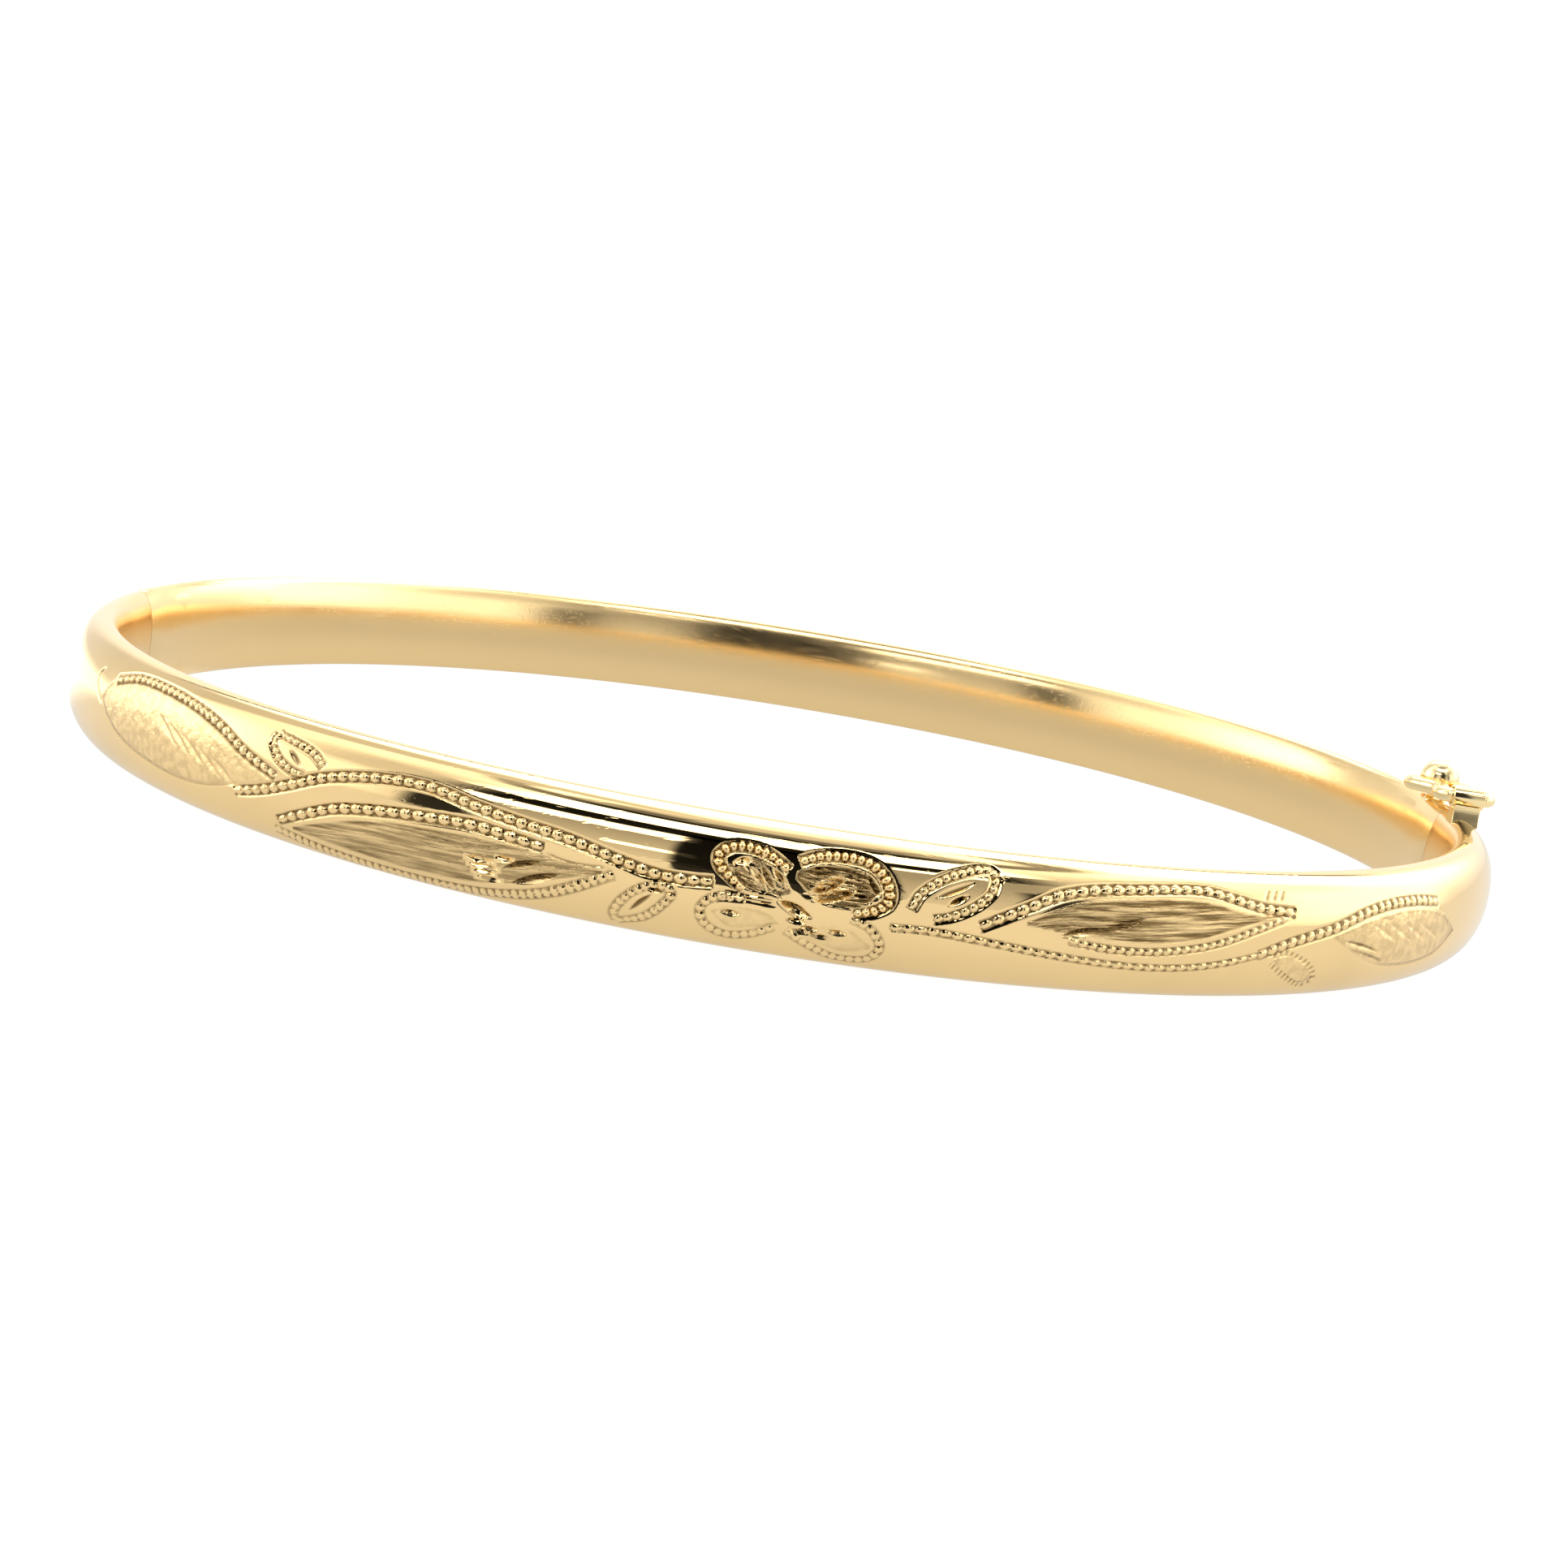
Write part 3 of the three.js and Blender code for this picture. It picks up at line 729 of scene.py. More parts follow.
@dataclass(frozen=True)
class GoldFinish:
    """A yellow gold surface with its polish, hairlines and colour drift, and on the engraved finish painted shade
    in its recesses and satin leaves.
    """

    label: str
    slot: Slot
    colour: tuple[float, float, float]
    deep_colour: tuple[float, float, float]
    roughness: float
    smear: float
    hairlines: float
    worn_inside: float = 0.0
    engraved: bool = False
    satin_roughness: float = 0.15
    matt_roughness: float = 0.26
    line_pitch: float = 0.17

    def make(self, effects: SharedEffects) -> bpy.types.Material:
        """Builds the material.

        Args:
            effects: The shared node groups.

        Returns:
            The finished material.
        """
        material = bpy.data.materials.new(self.label)
        material.use_nodes = True
        desk = NodeDesk(material.node_tree)
        shader = material.node_tree.nodes["Principled BSDF"]
        shader.inputs["Metallic"].default_value = 1.0
        tone_and_shade = desk.add("ShaderNodeGroup", node_tree=effects.tone_and_shade_group)
        tone_and_shade.inputs["Colour"].default_value = (*self.colour, 1.0)
        tone_and_shade.inputs["Deep Colour"].default_value = (*self.deep_colour, 1.0)
        polish = desk.add("ShaderNodeGroup", node_tree=effects.polish)
        for name, value in (("Roughness", self.roughness), ("Smear", self.smear),
                            ("Hairlines", self.hairlines)):
            polish.inputs[name].default_value = value
        roughness, height = polish.outputs["Roughness"], polish.outputs["Height"]
        if self.worn_inside > 0.0:
            inside = desk.add("ShaderNodeAttribute", attribute_name="inside").outputs["Fac"]
            roughness = desk.math("MULTIPLY_ADD", inside, self.worn_inside, roughness)
        if self.engraved:
            roughness, height = self.lay_satin(desk, tone_and_shade, roughness, height)
        bump = desk.add("ShaderNodeBump")
        bump.inputs["Strength"].default_value = 1.0
        bump.inputs["Distance"].default_value = 0.004 * MM
        desk.feed(bump.inputs["Height"], height)
        desk.feed(shader.inputs["Base Color"], tone_and_shade.outputs["Colour"])
        desk.feed(shader.inputs["Roughness"], roughness)
        desk.feed(shader.inputs["Normal"], bump.outputs["Normal"])
        return material

    def lay_satin(self, desk: NodeDesk, tone_and_shade: bpy.types.Node, roughness: bpy.types.NodeSocket,
                  height: bpy.types.NodeSocket) -> tuple[bpy.types.NodeSocket, bpy.types.NodeSocket]:
        """Lines and mats the leaves, and paints shade onto the satin leaves and into the recesses, from what the
        engraving left on the mesh.

        Args:
            desk: The material's desk.
            tone_and_shade: The colour node, which drifts the gold's colour and takes the painted shade of the
                recesses and satin leaves.
            roughness: Roughness of the polished metal.
            height: Height of the polished metal.

        Returns:
            Roughness and height with the satin laid in.
        """
        satin = desk.add("ShaderNodeAttribute", attribute_name="satin").outputs["Fac"]
        hatch = desk.add("ShaderNodeAttribute", attribute_name="hatch").outputs["Fac"]
        cut = desk.add("ShaderNodeAttribute", attribute_name="cut").outputs["Fac"]
        lane = desk.add("ShaderNodeAttribute", attribute_name="lane").outputs["Fac"]
        chase = desk.add("ShaderNodeCombineXYZ")
        desk.feed(chase.inputs["X"], desk.math("MULTIPLY", lane, 0.35))
        desk.feed(chase.inputs["Y"], desk.math("MULTIPLY", hatch, 1.0 / self.line_pitch))
        streak = desk.add("ShaderNodeTexNoise", noise_dimensions="2D")
        for name, value in (("Vector", chase.outputs[0]), ("Scale", 1.0), ("Detail", 3.0), ("Roughness", 0.65)):
            desk.feed(streak.inputs[name], value)
        patchy = desk.remap(streak.outputs["Fac"], 0.32, 0.68)
        wave = desk.math("SINE", desk.math("MULTIPLY", hatch, 2.0 * math.pi / self.line_pitch))
        lines = desk.math("MULTIPLY", desk.math("ADD", desk.math("MULTIPLY", patchy, 8.0),
                                                desk.math("MULTIPLY", wave, 2.0)), satin)
        # Painted shade: the satin leaves are darkened, in streaks that run with their lines.
        shade = desk.math("MULTIPLY", desk.math("SUBTRACT", 1.35, patchy), satin)
        matt = desk.add("ShaderNodeAttribute", attribute_name="matt").outputs["Fac"]
        grain = desk.add("ShaderNodeTexNoise")
        for name, value in (("Vector", desk.add("ShaderNodeTexCoord").outputs["Object"]), ("Scale", 2600.0),
                            ("Detail", 4.0)):
            desk.feed(grain.inputs[name], value)
        lines = desk.math("MULTIPLY_ADD", desk.math("MULTIPLY", grain.outputs["Fac"], matt), 16.0, lines)
        mottle = desk.math("MULTIPLY", desk.remap(grain.outputs["Fac"], 0.62, 0.4), matt)
        shade = desk.math("MULTIPLY_ADD", mottle, 0.22, desk.math("MULTIPLY", shade, 0.75))
        # The deep colour is laid by this painted shade of the satin leaves, the random mottle of the matt leaves,
        # and the painted shade of the recesses.
        desk.feed(tone_and_shade.inputs["Cut"], desk.math("ADD", shade, cut))
        dull = desk.math("MULTIPLY_ADD", matt, self.matt_roughness,
                         desk.math("MULTIPLY", satin, self.satin_roughness))
        return desk.math("ADD", dull, roughness), desk.math("ADD", lines, height)


class FinishShelf:
    """One material for each of the record's slots."""

    FINISHES = (
        GoldFinish("Polished gold", Slot.POLISHED, (0.98, 0.725, 0.365), (0.86, 0.58, 0.25), 0.035, 0.03, 0.4,
                   worn_inside=0.15),
        # The engraved finish's dark deep colour is mostly the painted shade of its recesses and satin leaves.
        GoldFinish("Engraved gold", Slot.ENGRAVED, (0.98, 0.72, 0.355), (0.2, 0.125, 0.045), 0.022, 0.015, 0.2,
                   worn_inside=0.15, engraved=True),
        GoldFinish("Spring gold", Slot.SPRING, (0.93, 0.69, 0.33), (0.82, 0.53, 0.2), 0.2, 0.1, 1.0),
        GoldFinish("Wire gold", Slot.WIRE, (1.0, 0.8, 0.43), (0.93, 0.66, 0.29), 0.15, 0.08, 0.4),
    )

    def __init__(self) -> None:
        """Makes every finish."""
        effects = SharedEffects()
        self.materials = {finish.slot: finish.make(effects) for finish in self.FINISHES}

    def dress(self, piece: bpy.types.Object, slot: Slot) -> None:
        """Puts a slot's finish on a piece."""
        piece.data.materials.clear()
        piece.data.materials.append(self.materials[slot])


# ---------------------------------------------------------------------------------------------
# Mesh making
# ---------------------------------------------------------------------------------------------


class Bench:
    """Makes mesh pieces and hands them to their body and slot."""

    def __init__(self, shelf: FinishShelf) -> None:
        """Takes the finishes."""
        self.shelf = shelf

    @staticmethod
    def mesh(name: str, vertices: Array, faces: list, sharp: float = 40.0) -> bpy.types.Object:
        """Makes a shaded mesh object.

        Args:
            name: The object's name.
            vertices: Vertex places in metres.
            faces: Vertex indices of each face.
            sharp: Edges bent by more than this many degrees stay sharp.

        Returns:
            The new object.
        """
        data = bpy.data.meshes.new(name)
        data.from_pydata(np.asarray(vertices).tolist(), [], faces)
        data.validate()
        piece = bpy.data.objects.new(name, data)
        bpy.context.scene.collection.objects.link(piece)
        Bench.outward(data)
        data.shade_smooth()
        data.set_sharp_from_angle(angle=math.radians(sharp))
        return piece

    @staticmethod
    def outward(data: bpy.types.Mesh) -> None:
        """Turns every face of a closed mesh outwards."""
        work = bmesh.new()
        work.from_mesh(data)
        bmesh.ops.recalc_face_normals(work, faces=work.faces)
        work.to_mesh(data)
        work.free()

    @staticmethod
    def turned(name: str, profile: list[Point2], axis: Vector, foot: Vector, segments: int = 72,
               sharp: float = 50.0) -> bpy.types.Object:
        """Turns a profile of (radius, height) round an axis.

        Args:
            name: The object's name.
            profile: Radius and height of each point; a closed profile makes a ring.
            axis: Direction of the height.
            foot: Where height 0 is.
            segments: Steps round the axis.
            sharp: Edges bent by more than this many degrees stay sharp.

        Returns:
            The new object.
        """
        closed = profile[0] == profile[-1]
        rows = profile[:-1] if closed else profile
        side = axis.orthogonal().normalized()
        other = axis.cross(side).normalized()
        vertices, rings, faces = [], [], []
        for radius, height in rows:
            if radius < 1e-9:
                rings.append([len(vertices)])
                vertices.append(foot + axis * height)
                continue
            rings.append(list(range(len(vertices), len(vertices) + segments)))
            for step in range(segments):
                turn = 2.0 * math.pi * step / segments
                vertices.append(foot + axis * height + (side * math.cos(turn) + other * math.sin(turn)) * radius)
        pairs = list(zip(rings, rings[1:] + rings[:1] if closed else rings[1:]))
        for low, high in pairs:
            for step in range(segments):
                ahead = (step + 1) % segments
                face = [low[step % len(low)], low[ahead % len(low)], high[ahead % len(high)],
                        high[step % len(high)]]
                faces.append(list(dict.fromkeys(face)))
        return Bench.mesh(name, np.array([tuple(v) for v in vertices]), faces, sharp)

    @staticmethod
    def cut_away(piece: bpy.types.Object, cutters: list[bpy.types.Object]) -> None:
        """Cuts shapes out of a piece and throws the cutters away."""
        for cutter in cutters:
            modifier = piece.modifiers.new("cut", "BOOLEAN")
            modifier.operation = "DIFFERENCE"
            modifier.solver = "MANIFOLD"
            modifier.object = cutter
        graph = bpy.context.evaluated_depsgraph_get()
        result = bpy.data.meshes.new_from_object(piece.evaluated_get(graph))
        piece.modifiers.clear()
        old = piece.data
        piece.data = result
        bpy.data.meshes.remove(old)
        result.name = piece.name
        for cutter in cutters:
            bpy.data.meshes.remove(cutter.data)

    def deliver(self, piece: bpy.types.Object, body: Body, slot: Slot, *nodes: str) -> bpy.types.Object:
        """Dresses a piece and hands it to its body, in place of the CAD nodes it stands for."""
        self.shelf.dress(piece, slot)
        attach(piece, body.value)
        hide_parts(*nodes)
        LOG.info("%s: %d faces, rides on %s, %s", piece.name, len(piece.data.polygons), body.value, slot.value)
        return piece


# ---------------------------------------------------------------------------------------------
# Half bands
# ---------------------------------------------------------------------------------------------


def graded(stops: list[Point2], last: float, group: int = 1) -> Array:
    """Positions whose spacing changes from stretch to stretch.

    Args:
        stops: Start and spacing of each stretch.
        last: Where the last stretch ends.
        group: Each stretch has a whole multiple of this many steps.

    Returns:
        The positions, in order.
    """
    starts = [start for start, _ in stops] + [last]
    parts = []
    for (start, spacing), end in zip(stops, starts[1:]):
        count = group * max(math.ceil((end - start) / spacing / group), 1)
        parts.append(np.linspace(start, end, count, endpoint=False))
    return np.concatenate([*parts, [last]])


@dataclass
class HalfBand:
    """A hollow half of the oval, polished inside and out."""

    form: BandForm
    bench: Bench
    name: str = "back_band"
    body: Body = Body.BACK
    slot: Slot = Slot.POLISHED
    stands_for: str = "back_tube"
    middle_angle: float = math.pi / 2
    seam: float = 0.014 * MM
    edge: float = 0.06 * MM
    inner_rows: int = 22
    group: int = 2
    cavity_group: int = 8
    hinge_x: float = -31.75 * MM
    pocket: Point2 = (0.95 * MM, 1.735 * MM)
    relief_radius: float = 0.45 * MM
    relief_half: float = 3.0 * MM
    inner_inset: float = 1.8
    column_step: float = 0.5
    row_step: float = 0.16
    track: Track = field(init=False)
    section: Section = field(init=False)

    def __post_init__(self) -> None:
        """Tabulates the centreline and the section."""
        self.track = Track(self.form, self.middle_angle)
        self.section = Section(self.form)

    def columns(self, reach: float) -> Array:
        """Distances along the band of the mesh's columns, in millimetres."""
        return graded([(-reach, self.column_step)], reach, self.group * self.cavity_group)

    def rows(self, half: float) -> Array:
        """Distances across the outer face of the mesh's rows, in millimetres."""
        return graded([(-half, self.row_step)], half)

    def engrave(self, along: Array, across: Array) -> Relief:
        """The engraving over the outer face, which is flat on a plain half."""
        return Relief(along, across)

    def cutters(self) -> list[bpy.types.Object]:
        """Room for the hinge's knuckles, and the narrower relief out to the rims."""
        middle = self.form.height / 2.0
        radius, half = self.pocket
        axis, foot = Vector((0, 0, 1)), Vector((self.hinge_x, 0, middle))
        pocket = [(0.0, -half), (radius, -half), (radius, half), (0.0, half)]
        radius, half = self.relief_radius, self.relief_half
        relief = [(0.0, -half), (radius, -half), (radius, half), (0.0, half)]
        return [Bench.turned("pocket", pocket, axis, foot), Bench.turned("relief", relief, axis, foot)]

    def place(self, along: Array, out: Array, height: Array) -> Array:
        """Points at distances along the band, offsets outward and heights, as a flat list of vertices."""
        x, y, nx, ny = (v[:, None] for v in self.track.at(along))
        grid = np.stack(np.broadcast_arrays(x + nx * out, y + ny * out, height + 0.0 * x), axis=-1)
        return grid.reshape(-1, 3)

    def build(self) -> bpy.types.Object:
        """Builds the band: its outer face, comfort-fit inside, hollow and open ends.

        Returns:
            The finished piece.
        """
        reach = self.track.reach(self.seam) / MM
        edge = self.edge / MM
        along, across = self.columns(reach - edge), self.rows(self.section.half / MM)
        along[0], along[-1] = -reach, reach
        along[1], along[-2] = edge - reach, reach - edge
        inset = np.where(np.abs(along) > reach - 0.5 * edge, self.edge, 0.0)[:, None]
        relief = self.engrave(along, across)
        out, height, face_out, face_up = self.section.at(across * MM)
        lift = relief.height * MM - inset
        outer = self.place(along * MM, out + lift * face_out, height + lift * face_up)
        spread = np.linspace(0.5 * math.pi, 1.5 * math.pi, self.inner_rows + 2)[1:-1]
        inner_along = along[::self.group]
        inner = self.place(inner_along * MM, *self.form.outline(spread,
                                                                -self.inner_inset * inset[::self.group]))
        angle = np.concatenate([self.section.angle_at(across * MM), spread])
        cavity_along = inner_along[::self.cavity_group]
        cavity = self.place(cavity_along * MM, *self.form.outline(angle, -self.form.wall))
        faces = self.faces(len(along), len(across), len(inner_along), len(cavity_along))
        piece = Bench.mesh(self.name, np.vstack([outer, inner, cavity]), faces, sharp=50.0)
        pad = len(inner) + len(cavity)
        bare = np.zeros(relief.height.size)
        lane = np.broadcast_to(along[:, None], relief.height.shape)
        # The cut layer carries the painted shade of the engraving's recesses.
        for label, values, rest in (("satin", relief.satin, 0.0), ("hatch", relief.hatch, 0.0),
                                    ("lane", lane, 0.0), ("matt", relief.matt, 0.0),
                                    ("cut", relief.recess_shade(), 0.0), ("inside", bare, 1.0)):
            layer = piece.data.attributes.new(label, "FLOAT", "POINT")
            layer.data.foreach_set("value", np.concatenate([values.ravel(),
                                                            np.full(pad, rest)]).astype(np.float32))
        Bench.cut_away(piece, self.cutters())
        return self.bench.deliver(piece, self.body, self.slot, self.stands_for)

    def faces(self, columns: int, rows: int, inner_columns: int, cavity_columns: int) -> list[list[int]]:
        """Faces of the outer grid, inner grid, their joins at the rims, the cavity and the two ends.

        Args:
            columns: Columns of the outer grid.
            rows: Rows of the outer grid.
            inner_columns: Columns of the inner grid.
            cavity_columns: Columns of the cavity.

        Returns:
            Vertex indices of each face.
        """
        outer = np.arange(columns * rows).reshape(columns, rows)
        inner = columns * rows + np.arange(inner_columns * self.inner_rows).reshape(inner_columns,
                                                                                    self.inner_rows)
        ring = rows + self.inner_rows
        cavity = outer.size + inner.size + np.arange(cavity_columns * ring).reshape(cavity_columns, ring)
        faces = [*self.quads(outer), *self.quads(inner)]
        cavity_loop = np.hstack([cavity, cavity[:, :1]])
        faces += self.quads(cavity_loop)
        for step in range(inner_columns - 1):
            fine = range(step * self.group, (step + 1) * self.group + 1)
            faces.append([*(int(outer[i, -1]) for i in fine), int(inner[step + 1, 0]), int(inner[step, 0])])
            faces.append([*(int(outer[i, 0]) for i in fine), int(inner[step + 1, -1]), int(inner[step, -1])])
        for end in (0, -1):
            rim = np.concatenate([outer[end], inner[end], outer[end, :1]])
            faces += self.quads(np.stack([rim, cavity_loop[end]]))
        return faces

    @staticmethod
    def quads(grid: Array) -> list[list[int]]:
        """The quads of a grid of vertex indices."""
        return np.stack([grid[:-1, :-1], grid[1:, :-1], grid[1:, 1:], grid[:-1, 1:]], axis=-1).reshape(-1,
                                                                                                       4).tolist()


@dataclass
class PlainHalf(HalfBand):
    """The back half, with a notch that the thumb button leaves by."""

    notch_low_x: float = 31.24 * MM
    notch_depth: float = 1.4 * MM
    notch_half: float = 0.38 * MM
    notch_start: float = -1.0 * MM
    notch_high_x: float = 34 * MM
    notch_steps: int = 16

    def cutters(self) -> list[bpy.types.Object]:
        """The hinge room, and the notch with a rounded end."""
        middle = self.form.height / 2.0
        bend = self.notch_depth - self.notch_half
        outline = [(self.notch_start, -self.notch_half), (self.notch_start, self.notch_half)]
        for step in range(self.notch_steps + 1):
            turn = math.pi * (0.5 - step / self.notch_steps)
            outline.append((bend + self.notch_half * math.cos(turn), self.notch_half * math.sin(turn)))
        count = len(outline)
        points = [(x, y, middle + z) for x in (self.notch_low_x, self.notch_high_x) for y, z in outline]
        faces = [list(range(count)), list(range(2 * count - 1, count - 1, -1))]
        faces += [[i, (i + 1) % count, count + (i + 1) % count, count + i] for i in range(count)]
        return [*super().cutters(), Bench.mesh("notch", np.array(points), faces)]


@dataclass
class EngravedHalf(HalfBand):
    """The front half, hand engraved over the middle two thirds of its length."""

    name: str = "front_band"
    body: Body = Body.FRONT
    slot: Slot = Slot.ENGRAVED
    stands_for: str = "front_tube"
    middle_angle: float = -math.pi / 2
    group: int = 6
    cavity_group: int = 4
    column_step: float = 0.3
    row_step: float = 0.12
    cut_step: float = 0.06
    bloom_step: float = 0.045
    cut_row_step: float = 0.045
    engraving: Engraving = field(default_factory=Engraving)

    def columns(self, reach: float) -> Array:
        """Columns close together under the engraving, and closest under the flower."""
        low, high = self.engraving.ALONG
        bloom_low, bloom_high = self.engraving.FLOWER
        stops = [(-reach, self.column_step), (low, self.cut_step), (bloom_low, self.bloom_step),
                 (bloom_high, self.cut_step), (high, self.column_step)]
        return graded(stops, reach, self.group * self.cavity_group)

    def rows(self, half: float) -> Array:
        """Rows close together under the engraving."""
        low, high = self.engraving.ACROSS
        return graded([(-half, self.row_step), (low, self.cut_row_step), (high, self.row_step)], half)

    def engrave(self, along: Array, across: Array) -> Relief:
        """Cuts the pattern."""
        relief = Relief(along, across)
        self.engraving.carve(relief)
        return relief


# ---------------------------------------------------------------------------------------------
# Hinge and clasp
# ---------------------------------------------------------------------------------------------


@dataclass
class CarriedParts:
    """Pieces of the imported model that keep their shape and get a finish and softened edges."""

    bench: Bench
    softening: float = 0.025 * MM
    parts: dict[str, Slot] = field(default_factory=lambda: {
        "back_hinge_plug": Slot.POLISHED,
        "back_knuckle": Slot.POLISHED,
        "front_hinge_plug": Slot.POLISHED,
        "front_knuckle_lower": Slot.POLISHED,
        "front_knuckle_upper": Slot.POLISHED,
        "hinge_pin": Slot.SPRING,
        "back_clasp_plate": Slot.POLISHED,
        "front_clasp_plate": Slot.POLISHED,
        "catch_box": Slot.SPRING,
        "tongue_base": Slot.SPRING,
        "tongue_leaf": Slot.SPRING,
    })

    def dress(self) -> None:
        """Gives every carried part its finish and softens its edges."""
        for name, slot in self.parts.items():
            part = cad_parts[name]
            self.bench.shelf.dress(part, slot)
            weld = part.modifiers.new("weld", "WELD")
            weld.merge_threshold = 0.001 * MM
            bevel = part.modifiers.new("soft edges", "BEVEL")
            bevel.width = self.softening
            bevel.segments = 2
            bevel.limit_method = "ANGLE"
            bevel.angle_limit = math.radians(40.0)
            bevel.harden_normals = True
            LOG.info("%s: carried over, %s", name, slot.value)


@dataclass
class ThumbButton:
    """A domed button with a turned neck, pressed to free the tongue."""

    bench: Bench
    stem_radius: float = 0.32 * MM
    head_radius: float = 0.6 * MM
    head_height: float = 0.36 * MM

    def build(self) -> bpy.types.Object:
        """Turns the button about its stem."""
        low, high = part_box("thumb_button")
        foot = Vector((low.x, (low.y + high.y) / 2, (low.z + high.z) / 2))
        total = high.x - low.x
        under = total - self.head_height
        head, stem, tall = self.head_radius, self.stem_radius, self.head_height
        profile = [(0.0, 0.0), (stem, 0.0), (stem, under - 0.08 * MM), (stem + 0.03 * MM, under - 0.02 * MM),
                   (0.75 * head, under), (0.95 * head, under + 0.02 * MM), (head, under + 0.2 * tall)]
        for step in range(1, 13):
            turn = 0.5 * math.pi * step / 12
            profile.append((head * math.cos(turn) ** 0.8 if step < 12 else 0.0,
                            under + tall * (0.2 + 0.8 * math.sin(turn))))
        piece = Bench.turned("thumb_button_cap", profile, Vector((1, 0, 0)), foot)
        return self.bench.deliver(piece, Body.SPRING, Slot.POLISHED, "thumb_button")


# ---------------------------------------------------------------------------------------------
# Safety catch
# ---------------------------------------------------------------------------------------------


@dataclass
class SafetyCatch:
    """Figure-eight wire that turns in a barrel on the front half and snaps over a ball on the back half."""

    bench: Bench
    form: BandForm
    wire_radius: float = 0.33 * MM
    wire_sides: int = 28
    tilt: float = math.radians(5.0)
    reach: float = 5.2 * MM
    loop_radius: float = 1.27 * MM
    shoulder: float = 1.06 * MM
    waist: float = 0.38 * MM
    barrel_half: float = 0.72 * MM
    barrel_radius: float = 0.5 * MM
    bore_radius: float = 0.37 * MM
    knob_radius: float = 0.9 * MM
    post_radius: float = 0.42 * MM

    def build(self) -> list[bpy.types.Object]:
        """Builds the wire, barrel, saddle and knob."""
        return [self.build_wire(), self.build_barrel(), self.build_saddle(), self.build_knob()]

    def axis(self) -> Vector:
        """Middle of the barrel's own axis."""
        low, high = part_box("safety_barrel")
        return (low + high) / 2

    def route(self) -> Array:
        """The wire's centreline: a near loop, a waist, and a far loop that bows up over the ball."""
        half = [(0.03 * MM, 0.0), (0.5 * self.barrel_half, 0.0), (1.05 * self.barrel_half, 0.0),
                (0.97 * self.shoulder, 0.33 * MM), (self.shoulder, 0.8 * MM), (0.8 * self.shoulder, 1.7 * MM),
                (self.waist, 2.8 * MM), (1.15 * self.waist, 3.5 * MM)]
        for degrees in (45, 90, 135):
            turn = math.radians(degrees)
            half.append((self.loop_radius * math.sin(turn), self.reach - self.loop_radius * math.cos(turn)))
        points = [*half, (0.0, self.reach + self.loop_radius), *[(-x, y) for x, y in reversed(half)]]
        path = smooth_path(points, 0.06 * MM)
        return np.stack([path[:, 0], path[:, 1], np.zeros(len(path))], axis=1)

    def build_wire(self) -> bpy.types.Object:
        """Sweeps the wire along its route, and closes its two ends with flat caps."""
        path = self.route()
        tangent = np.gradient(path, axis=0)
        tangent /= np.linalg.norm(tangent, axis=1)[:, None]
        side = np.cross(tangent, (0.0, 0.0, 1.0))
        turn = np.linspace(0.0, 2.0 * math.pi, self.wire_sides, endpoint=False)
        ring = (side[:, None] * np.cos(turn)[None, :, None]
                + np.array((0.0, 0.0, 1.0)) * np.sin(turn)[None, :, None]) * self.wire_radius
        points = (path[:, None] + ring).reshape(-1, 3)
        grid = np.arange(len(path) * self.wire_sides).reshape(len(path), self.wire_sides)
        faces = HalfBand.quads(np.hstack([grid, grid[:, :1]]))
        faces += [grid[0].tolist(), grid[-1][::-1].tolist()]
        tilt = np.array(Matrix.Rotation(-self.tilt, 3, "X"))
        piece = Bench.mesh("figure_eight_wire", points @ tilt.T + np.array(self.axis()), faces)
        return self.bench.deliver(piece, Body.CATCH, Slot.WIRE, "safety_figure_eight")

    def build_barrel(self) -> bpy.types.Object:
        """Turns the short tube with rounded mouths."""
        outer, bore, half, soft = self.barrel_radius, self.bore_radius, self.barrel_half, 0.05 * MM
        corners = [(outer - soft, half - soft, 0.0), (bore + 0.8 * soft, half - 0.8 * soft, 90.0),
                   (bore + 0.8 * soft, -half + 0.8 * soft, 180.0), (outer - soft, -half + soft, 270.0)]
        profile = []
        for radius, height, start in corners:
            size = soft if radius > 0.5 * (outer + bore) else 0.8 * soft
            for step in range(5):
                turn = math.radians(start + 22.5 * step)
                profile.append((radius + size * math.cos(turn), height + size * math.sin(turn)))
        piece = Bench.turned("catch_barrel", [*profile, profile[0]], Vector((1, 0, 0)), self.axis())
        return self.bench.deliver(piece, Body.FRONT, Slot.WIRE, "safety_barrel")

    def build_saddle(self) -> bpy.types.Object:
        """Shapes the bracket: a flared foot on the rim and a cradle under the barrel."""
        centre = self.axis()
        low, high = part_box("barrel_saddle")
        cradle = self.barrel_radius + 0.03 * MM
        rise = high.z - centre.z
        edge = math.sqrt(cradle**2 - rise**2)
        outline = [(-0.56 * MM, low.z - centre.z + 0.1 * MM), (-0.5 * MM, -1.02 * MM), (-0.43 * MM, -0.8 * MM),
                   (-edge - 0.02 * MM, rise)]
        start = math.atan2(rise, -edge)
        for step in range(1, 12):
            turn = start + (math.atan2(rise, edge) - start) * step / 12
            outline.append((cradle * math.cos(turn), cradle * math.sin(turn)))
        outline += [(-y, z) for y, z in outline[3::-1]]
        half = (high.x - low.x) / 2
        count = len(outline)
        points = [(centre.x + x, centre.y + y, centre.z + z) for x in (-half, half) for y, z in outline]
        faces = [list(range(count - 1, -1, -1)), list(range(count, 2 * count))]
        faces += [[i, (i + 1) % count, count + (i + 1) % count, count + i] for i in range(count)]
        piece = Bench.mesh("barrel_bracket", np.array(points), faces)
        bevel = piece.modifiers.new("soft edges", "BEVEL")
        bevel.width = 0.05 * MM
        bevel.segments = 3
        bevel.angle_limit = math.radians(35.0)
        bevel.harden_normals = True
        return self.bench.deliver(piece, Body.FRONT, Slot.WIRE, "barrel_saddle")

